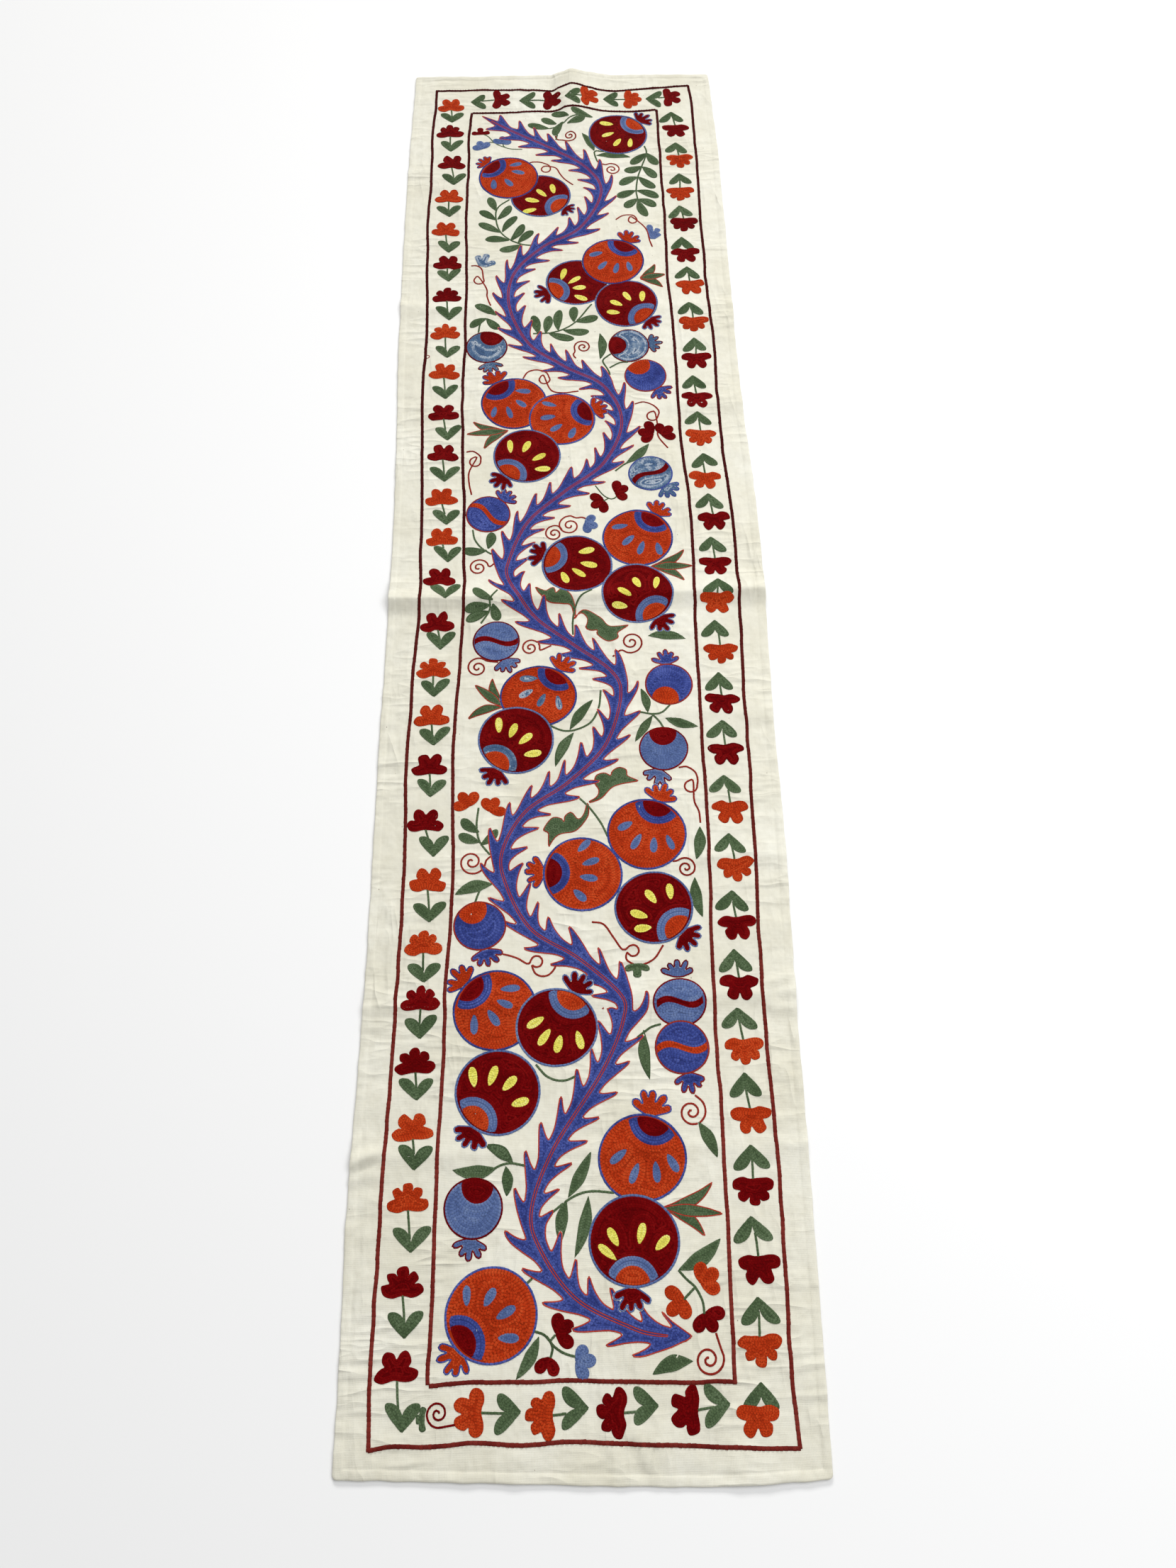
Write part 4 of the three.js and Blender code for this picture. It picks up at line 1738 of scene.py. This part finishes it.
def thread_mesh(thread):
    rows = ROWS.get(thread, [])
    a = np.vstack([r[0] for r in rows])
    b = np.vstack([r[1] for r in rows])
    wide = np.concatenate([np.full(len(r[0]), r[2]) for r in rows])
    high = np.concatenate([np.full(len(r[0]), r[3]) for r in rows])
    row_tone = np.concatenate([r[4] for r in rows])
    flank = np.concatenate([np.full(len(r[0]), r[5]) for r in rows])
    n = len(a)
    wide = wide * DICE.uniform(0.93, 1.07, n)
    ahead = b - a
    side = np.stack([-ahead[:, 1], ahead[:, 0]], 1) / np.hypot(*ahead.T)[:, None]
    lean = DICE.uniform(-0.08, 0.08, n)
    xy = (
        a[:, None]
        + ahead[:, None] * LOOP[None, :, 0:1]
        + side[:, None]
        * (LOOP[None, :, 1:2] + lean[:, None, None])
        * (wide / 2)[:, None, None]
    )
    z = surface(xy[..., 0], xy[..., 1]) + THICKNESS
    rise = (0.24 * wide + 0.14) * high * DICE.uniform(0.9, 1.08, n)
    # rows side by side hold each other up, a single row slopes down to the cloth
    z += (LOOP[None, :, 2] + LOOP_SIDES[None] * flank[:, None]) * rise[:, None] + 0.05
    verts = metres(xy[..., 0], xy[..., 1], z).reshape(-1, 3)
    faces = (np.arange(n)[:, None, None] * len(LOOP) + LOOP_FACES[None]).reshape(-1, 3)
    tone = np.ones((n, len(LOOP), 4), np.float32)
    tone[..., 0] = DICE.uniform(0, 1, n)[:, None]
    tone[..., 1] = row_tone[:, None]
    tone[..., 2] = 1.0
    tone = tone.reshape(-1, 4)
    maps = np.stack(
        [
            np.broadcast_to(LOOP[None, :, 0], (n, len(LOOP))),
            np.broadcast_to(LOOP[None, :, 1], (n, len(LOOP))),
        ],
        -1,
    ).reshape(-1, 2)
    for points, tri in UNDER.get(thread, []):
        start = len(verts)
        zz = surface(points[:, 0], points[:, 1]) + THICKNESS + UNDER_LIFT
        verts = np.vstack([verts, metres(points[:, 0], points[:, 1], zz)])
        faces = np.vstack([faces, tri + start])
        # the third channel at 0 gives the layer under the rows its darker colour: painted shade between the
        # stitches
        flat_tone = np.zeros((len(points), 4), np.float32)
        flat_tone[:, 0:2] = 0.5
        flat_tone[:, 3] = 1
        tone = np.vstack([tone, flat_tone])
        maps = np.vstack([maps, np.zeros((len(points), 2))])
    mesh = bpy.data.meshes.new("stitch_" + thread)
    mesh.vertices.add(len(verts))
    mesh.vertices.foreach_set("co", verts.astype(np.float32).ravel())
    mesh.loops.add(faces.size)
    mesh.loops.foreach_set("vertex_index", faces.astype(np.int32).ravel())
    mesh.polygons.add(len(faces))
    mesh.polygons.foreach_set("loop_start", np.arange(0, faces.size, 3, dtype=np.int32))
    mesh.polygons.foreach_set("loop_total", np.full(len(faces), 3, np.int32))
    mesh.update(calc_edges=True)
    mesh.validate()
    attribute = mesh.attributes.new("tone", "FLOAT_COLOR", "POINT")
    attribute.data.foreach_set("color", tone.astype(np.float32).ravel())
    uv = mesh.uv_layers.new(name="Thread")
    loop_vertex = np.empty(len(mesh.loops), np.int32)
    mesh.loops.foreach_get("vertex_index", loop_vertex)
    uv.data.foreach_set("uv", maps[loop_vertex].astype(np.float32).ravel())
    mesh.polygons.foreach_set("use_smooth", np.ones(len(mesh.polygons), bool))
    piece = bpy.data.objects.new("stitch_" + thread, mesh)
    bpy.context.collection.objects.link(piece)
    TRIANGLES[thread] = len(mesh.polygons)
    return piece


def sheet_piece():
    cx, cy = FLAT_X, FLAT_Y
    x, y = settle(cx, cy)
    ex, ey = 250 - np.abs(cx), 1048 - np.abs(cy)
    # corners are turned in, so they are a little round
    r = 5.0
    gx, gy = np.clip(1 - ex / r, 0, 1), np.clip(1 - ey / r, 0, 1)
    k = np.where((gx > 0) & (gy > 0), np.maximum(gx, gy) / np.maximum(np.hypot(gx, gy), 1e-9), 1)
    x -= np.sign(cx) * gx * (1 - k) * r
    y -= np.sign(cy) * gy * (1 - k) * r
    e = np.minimum(ex, ey)
    top = np.interp(
        e,
        [0, 0.5, 1.3, 2.6, 8.0, 9.2, 10.2, 11.4, 14.0],
        [1.05, 1.6, 1.95, 2.1, 2.05, 1.75, 1.4, 1.42, 1.5],
    )
    foot = np.interp(e, [0, 0.5, 1.3, 2.6], [0.65, 0.25, 0.05, 0.0])
    base = NODES
    # edge of handwork is never quite straight
    wave = 0.5 * lump(y / 17, x * 0, 40) * (ex < 30) + 0.5 * lump(x / 17, y * 0, 41) * (ey < 30)
    x = x + np.where(ex < 30, (1 - ex / 30) * wave, 0)
    y = y + np.where(ey < 30, (1 - ey / 30) * wave, 0)
    # small dimples along the hem's inner edge, where its slip stitches pull
    pull = np.exp(-(((e - 9.6) / 1.2) ** 2))
    along = np.where(ex < ey, y, x)
    top = top - 0.25 * pull * (0.5 + 0.5 * np.sin(along / 6.5 * 2 * math.pi))
    m, n = cx.shape
    upper = metres(x, y, base + top).reshape(-1, 3)
    lower = metres(x, y, base + foot).reshape(-1, 3)
    verts = np.vstack([upper, lower])
    i, j = np.meshgrid(np.arange(m - 1), np.arange(n - 1), indexing="ij")
    a = (i * n + j).ravel()
    quads_top = np.stack([a, a + 1, a + n + 1, a + n], 1)
    quads_low = quads_top[:, ::-1] + m * n

    def wall(p, q):
        return np.stack([p, p + m * n, q + m * n, q], 1)

    j = np.arange(n - 1)
    i = np.arange(m - 1)
    near = wall(j, j + 1)
    far = wall((m - 1) * n + j + 1, (m - 1) * n + j)
    left = wall((i + 1) * n, i * n)
    right = wall(i * n + n - 1, (i + 1) * n + n - 1)
    quads = np.vstack([quads_top, quads_low, near, far, left, right])
    mesh = bpy.data.meshes.new("cloth_sheet")
    mesh.from_pydata(verts.tolist(), [], quads.tolist())
    mesh.update()
    mesh.validate()
    mesh.polygons.foreach_set("use_smooth", np.ones(len(mesh.polygons), bool))
    piece = bpy.data.objects.new("cloth_sheet", mesh)
    bpy.context.collection.objects.link(piece)
    TRIANGLES["cloth"] = 2 * len(quads)
    return piece


# ------------------------------------------------------------------ materials
class Nodes:
    def __init__(self, name):
        self.material = bpy.data.materials.new(name)
        self.material.use_nodes = True
        self.tree = self.material.node_tree
        self.shader = self.tree.nodes["Principled BSDF"]

    def add(self, kind, inputs=None, **settings):
        node = self.tree.nodes.new(kind)
        for key, value in settings.items():
            setattr(node, key, value)
        for key, value in (inputs or {}).items():
            if isinstance(value, bpy.types.NodeSocket):
                self.tree.links.new(value, node.inputs[key])
            else:
                node.inputs[key].default_value = value
        return node

    def link(self, a, b):
        self.tree.links.new(a, b)

    def maths(self, operation, a, b=0.0, clamp=False):
        return self.add(
            "ShaderNodeMath", {0: a, 1: b}, operation=operation, use_clamp=clamp
        ).outputs[0]

    def stretched(self, scale, offset=(0, 0, 0)):
        where = self.add("ShaderNodeTexCoord").outputs["Object"]
        return self.add(
            "ShaderNodeMapping", {"Vector": where, "Scale": scale, "Location": offset}
        ).outputs[0]

    def noise(self, scale, detail=2.0, rough=0.5, offset=(0, 0, 0)):
        return self.add(
            "ShaderNodeTexNoise",
            {
                "Vector": self.stretched(scale, offset),
                "Scale": 1.0,
                "Detail": detail,
                "Roughness": rough,
            },
        ).outputs["Fac"]

    def ramp(self, value, *stops):
        node = self.add("ShaderNodeValToRGB", {"Fac": value})
        steps = node.color_ramp.elements
        while len(steps) < len(stops):
            steps.new(0.5)
        for step, (at, colour) in zip(steps, stops):
            step.position = at
            step.color = (*colour, 1)
        return node.outputs["Color"]

    def mix(self, share, a, b, blend="MIX"):
        node = self.add("ShaderNodeMix", data_type="RGBA", blend_type=blend)
        for key, value in ((0, share), (6, a), (7, b)):
            if isinstance(value, bpy.types.NodeSocket):
                self.link(value, node.inputs[key])
            elif key == 0:
                node.inputs[0].default_value = value
            else:
                node.inputs[key].default_value = (*value, 1)
        return node.outputs[2]


def cotton():
    k = Nodes("cotton_ground")
    base = k.ramp(
        k.noise((9, 7, 9), 3.0, 0.55),
        (0.30, srgb(222, 218, 199)),
        (0.52, srgb(230, 227, 211)),
        (0.72, srgb(235, 233, 220)),
    )
    # slubs: thicker yarns that run along and across
    along = k.noise((520, 24, 1), 2.0, 0.6)
    cross = k.noise((22, 540, 1), 2.0, 0.6, (3, 1, 0))
    slub = k.ramp(along, (0.60, (0, 0, 0)), (0.72, (1, 1, 1)))
    slub2 = k.ramp(cross, (0.60, (0, 0, 0)), (0.72, (1, 1, 1)))
    base = k.mix(k.maths("MULTIPLY", slub, 0.10), base, srgb(196, 187, 164))
    base = k.mix(k.maths("MULTIPLY", slub2, 0.10), base, srgb(244, 241, 230))
    blotch = k.ramp(k.noise((95, 80, 1), 3.0, 0.6, (7, 2, 0)), (0.42, (0, 0, 0)), (0.70, (1, 1, 1)))
    base = k.mix(k.maths("MULTIPLY", blotch, 0.28), base, srgb(208, 203, 183))
    # specks of seed husk
    cells = k.add(
        "ShaderNodeTexVoronoi",
        {"Vector": k.stretched((75, 60, 60)), "Scale": 1.0, "Randomness": 1.0},
        feature="F1",
    )
    dot = k.maths("LESS_THAN", cells.outputs["Distance"], 0.045)
    apart = k.add("ShaderNodeSeparateColor", {"Color": cells.outputs["Color"]})
    some = k.maths("GREATER_THAN", apart.outputs[0], 0.72)
    speck = k.maths("MULTIPLY", dot, some)
    base = k.mix(k.maths("MULTIPLY", speck, 0.75), base, srgb(92, 74, 58))
    k.link(base, k.shader.inputs["Base Color"])
    # weave, finer than a millimetre, with the uneven yarns over it
    warp = k.add(
        "ShaderNodeTexWave",
        {
            "Vector": k.stretched((1, 1, 0)),
            "Scale": 330.0,
            "Distortion": 3.2,
            "Detail": 2.0,
            "Detail Scale": 0.35,
        },
        wave_type="BANDS",
        bands_direction="X",
    ).outputs["Fac"]
    weft = k.add(
        "ShaderNodeTexWave",
        {
            "Vector": k.stretched((1, 1, 0)),
            "Scale": 300.0,
            "Distortion": 3.2,
            "Detail": 2.0,
            "Detail Scale": 0.35,
        },
        wave_type="BANDS",
        bands_direction="Y",
    ).outputs["Fac"]
    height = k.maths("MULTIPLY", warp, weft)
    height = k.maths("ADD", height, k.maths("MULTIPLY", along, 0.8))
    height = k.maths("ADD", height, k.maths("MULTIPLY", cross, 0.8))
    height = k.maths(
        "ADD", height, k.maths("MULTIPLY", k.noise((110, 95, 1), 3.0, 0.6), 1.2)
    )
    bump = k.add(
        "ShaderNodeBump", {"Strength": 0.42, "Distance": 0.0004, "Height": height}
    )

    # sharp little creases left by folding and washing, in patches
    def crease(scale, offset, gate_scale):
        off = k.maths("ABSOLUTE", k.maths("SUBTRACT", k.noise(scale, 2.0, 0.5, offset), 0.5))
        top = k.maths("SUBTRACT", 1.0, k.maths("MULTIPLY", off, 7.0), True)
        gate = k.maths("SUBTRACT", k.noise(gate_scale, 2.0, 0.5, offset), 0.44)
        return k.maths("MULTIPLY", k.maths("POWER", top, 1.4), k.maths("MULTIPLY", gate, 5.0, True))

    creased = k.maths(
        "ADD",
        crease((34, 9, 1), (1, 4, 0), (9, 7, 1)),
        crease((9, 36, 1), (5, 2, 0), (8, 9, 1)),
    )
    creased = k.maths("ADD", creased, k.maths("MULTIPLY", k.noise((48, 44, 1), 2.0, 0.5), 1.2))
    soft = k.add(
        "ShaderNodeBump",
        {"Strength": 0.9, "Distance": 0.0016, "Height": creased, "Normal": bump.outputs[0]},
    )
    k.link(soft.outputs[0], k.shader.inputs["Normal"])
    rough = k.maths("ADD", k.maths("MULTIPLY", along, 0.12), 0.82)
    k.link(rough, k.shader.inputs["Roughness"])
    k.shader.inputs["Specular IOR Level"].default_value = 0.25
    k.shader.inputs["Sheen Weight"].default_value = 0.12
    k.shader.inputs["Sheen Roughness"].default_value = 0.5
    return k.material


def thread_material(name, colour, light, dark, fleck=0.0, nick_shade_depth=0.5, shine=0.03):
    """colour is the usual tone, light and dark its lighter and darker lengths of yarn."""
    k = Nodes("thread_" + name)
    tone = k.add("ShaderNodeAttribute", attribute_name="tone")
    parts = k.add("ShaderNodeSeparateColor", {"Color": tone.outputs["Color"]})
    each, row, laid = parts.outputs[0], parts.outputs[1], parts.outputs[2]
    drift = k.noise((34, 30, 1), 2.0, 0.55)
    mixed = k.maths("MULTIPLY", each, 0.24)
    mixed = k.maths("ADD", mixed, k.maths("MULTIPLY", row, 0.30))
    mixed = k.maths("ADD", mixed, k.maths("MULTIPLY", drift, 0.78))
    base = k.ramp(mixed, (0.28, dark), (0.64, colour), (1.0, light))
    if fleck:
        streak = k.noise((75, 68, 1), 2.0, 0.65, (2, 5, 0))
        pale = k.maths("ADD", k.maths("MULTIPLY", streak, 0.85), k.maths("MULTIPLY", row, 0.34))
        pale = k.maths("ADD", pale, k.maths("MULTIPLY", each, 0.12))
        pale = k.maths("MULTIPLY", k.maths("SUBTRACT", pale, 0.66), 7.0, True)
        base = k.mix(k.maths("MULTIPLY", pale, fleck), base, srgb(188, 196, 206))
    # the spun plies, slanting across each strand, bumped and with painted shade in the grooves between them
    uv = k.add("ShaderNodeUVMap", uv_map="Thread").outputs[0]
    ply = k.add(
        "ShaderNodeTexWave",
        {
            "Vector": k.add("ShaderNodeMapping", {"Vector": uv, "Scale": (1.0, 0.45, 1)}).outputs[0],
            "Scale": 1.6,
            "Distortion": 0.6,
        },
        bands_direction="DIAGONAL",
    ).outputs["Fac"]
    base = k.mix(k.maths("MULTIPLY", ply, 0.16), base, tuple(c * 0.45 for c in colour))
    # painted shade: the dark nick where each loop comes up through the one before, where the loops overlap
    apart = k.add("ShaderNodeSeparateXYZ", {"Vector": uv})
    foot = k.maths("SUBTRACT", 1.0, k.maths("DIVIDE", apart.outputs[0], 0.3, True), True)
    head = k.maths("DIVIDE", k.maths("SUBTRACT", apart.outputs[0], 0.74), 0.16, True)
    nick_shade = k.maths("MULTIPLY", k.maths("MAXIMUM", foot, head), nick_shade_depth)
    nick_shade = k.maths("MULTIPLY", nick_shade, k.maths("ADD", 0.55, k.maths("MULTIPLY", each, 0.6)))
    base = k.mix(nick_shade, base, tuple(c * 0.22 for c in dark))
    # the layer under the rows: the usual colour mixed towards a darker one, painted shade between the
    # stitches
    under = k.mix(0.45, colour, tuple(c * 0.5 for c in dark))
    base = k.mix(laid, under, base)
    if name == "border":
        # darker from the middle to the far end
        where = k.add("ShaderNodeTexCoord").outputs["Object"]
        along = k.add("ShaderNodeSeparateXYZ", {"Vector": where}).outputs[1]
        far = k.maths("DIVIDE", k.maths("ADD", along, 0.75), 0.9, True)
        base = k.mix(k.maths("MULTIPLY", far, 0.85), base, srgb(50, 8, 12))
    k.link(base, k.shader.inputs["Base Color"])
    fibre = k.noise((900, 900, 900), 2.0, 0.6)
    height = k.maths("ADD", k.maths("MULTIPLY", ply, 0.8), fibre)
    bump = k.add(
        "ShaderNodeBump", {"Strength": 0.45, "Distance": 0.00025, "Height": height}
    )
    k.link(bump.outputs[0], k.shader.inputs["Normal"])
    k.link(
        k.maths("ADD", k.maths("MULTIPLY", fibre, 0.16), 0.72),
        k.shader.inputs["Roughness"],
    )
    k.shader.inputs["Specular IOR Level"].default_value = shine
    return k.material


THREADS = {  # slot, usual, light, dark, share of pale flecks, depth of the painted shade at the nicks
    "dark_red": ("thread_dark_red", (108, 3, 6), (128, 14, 14), (84, 1, 4), 0.0, 0.35),
    "orange": ("thread_orange", (184, 56, 20), (204, 78, 36), (154, 42, 13), 0.0, 0.9),
    "vine_red": ("thread_vine_red", (176, 56, 42), (192, 84, 68), (146, 40, 32), 0.0, 0.3),
    "tendril": ("thread_vine_red", (144, 42, 32), (164, 62, 50), (118, 28, 22), 0.0, 0.3),
    "blue": ("thread_blue", (60, 74, 144), (88, 102, 174), (38, 44, 102), 0.0, 0.7),
    "light_blue": ("thread_light_blue", (92, 112, 160), (118, 136, 176), (70, 88, 136), 0.0, 0.65),
    "grey_blue": ("thread_light_blue", (86, 112, 144), (150, 166, 182), (52, 76, 114), 0.7, 0.5),
    "green": ("thread_green", (82, 101, 70), (101, 119, 89), (60, 78, 52), 0.0, 0.75),
    "yellow": ("thread_yellow", (240, 232, 106), (246, 241, 150), (210, 198, 74), 0.0, 0.7),
    "border": ("thread_border", (114, 38, 32), (132, 54, 46), (90, 24, 22), 0.0, 0.25),
}

cloth = sheet_piece()
cloth.data.materials.append(cotton())
for name, (slot, usual, light, dark, fleck, nick_shade_depth) in THREADS.items():
    piece = thread_mesh(name)
    piece.data.materials.append(
        thread_material(name, srgb(*usual), srgb(*light), srgb(*dark), fleck, nick_shade_depth)
    )
    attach(piece, "root")
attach(cloth, "root")
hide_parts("cloth")
print("triangles", TRIANGLES, sum(TRIANGLES.values()))

# ------------------------------------------------------------------ surface, light and camera
bpy.ops.mesh.primitive_plane_add(size=14, location=(0, 0, -0.0006))
floor = bpy.context.object
floor.name = "floor"
ground = bpy.data.materials.new("floor_pale")
ground.use_nodes = True
ground.node_tree.nodes["Principled BSDF"].inputs["Base Color"].default_value = (
    0.93,
    0.93,
    0.93,
    1,
)
ground.node_tree.nodes["Principled BSDF"].inputs["Roughness"].default_value = 0.9
ground.node_tree.nodes["Principled BSDF"].inputs["Specular IOR Level"].default_value = 0.1
floor.data.materials.append(ground)


def area_light(name, place, aim, size, watts, colour=(1, 1, 1)):
    data = bpy.data.lights.new(name, "AREA")
    data.shape = "RECTANGLE"
    data.size, data.size_y = size
    data.energy = watts
    data.color = colour
    lamp = bpy.data.objects.new(name, data)
    lamp.location = place
    lamp.rotation_euler = (Vector(aim) - Vector(place)).to_track_quat("-Z", "Y").to_euler()
    bpy.context.collection.objects.link(lamp)


area_light("window", (-0.75, 9.5, 5.1), (0, 0.0, 0), (4.5, 2.4), 752, (1, 0.99, 0.97))
area_light("fill", (1.5, 0.1, 2.6), (0, 0.0, 0), (2.4, 2.0), 58, (0.98, 0.99, 1))
world = bpy.data.worlds.new("studio")
bpy.context.scene.world = world
world.use_nodes = True
world.node_tree.nodes["Background"].inputs["Color"].default_value = (1, 1, 1, 1)
world.node_tree.nodes["Background"].inputs["Strength"].default_value = 0.35
bpy.context.scene.view_settings.view_transform = "Standard"

lens_data = bpy.data.cameras.new("camera")
lens_data.sensor_width = 36
lens_data.lens = 1661.0 / 2212.0 * 36
lens_data.clip_start = 0.01
camera = bpy.data.objects.new("camera", lens_data)
turn = Matrix(
    (
        (0.999806, 0.019435, -0.003221),
        (-0.019060, 0.913027, -0.407453),
        (-0.004978, 0.407435, 0.913221),
    )
)
camera.matrix_world = Matrix.Translation(
    Vector(
        (
            (14.116 - CENTRE[0]) / 1000,
            (-889.297 - CENTRE[1]) / 1000,
            1.353264,
        )
    )
) @ turn.to_4x4()
bpy.context.collection.objects.link(camera)
bpy.context.scene.camera = camera
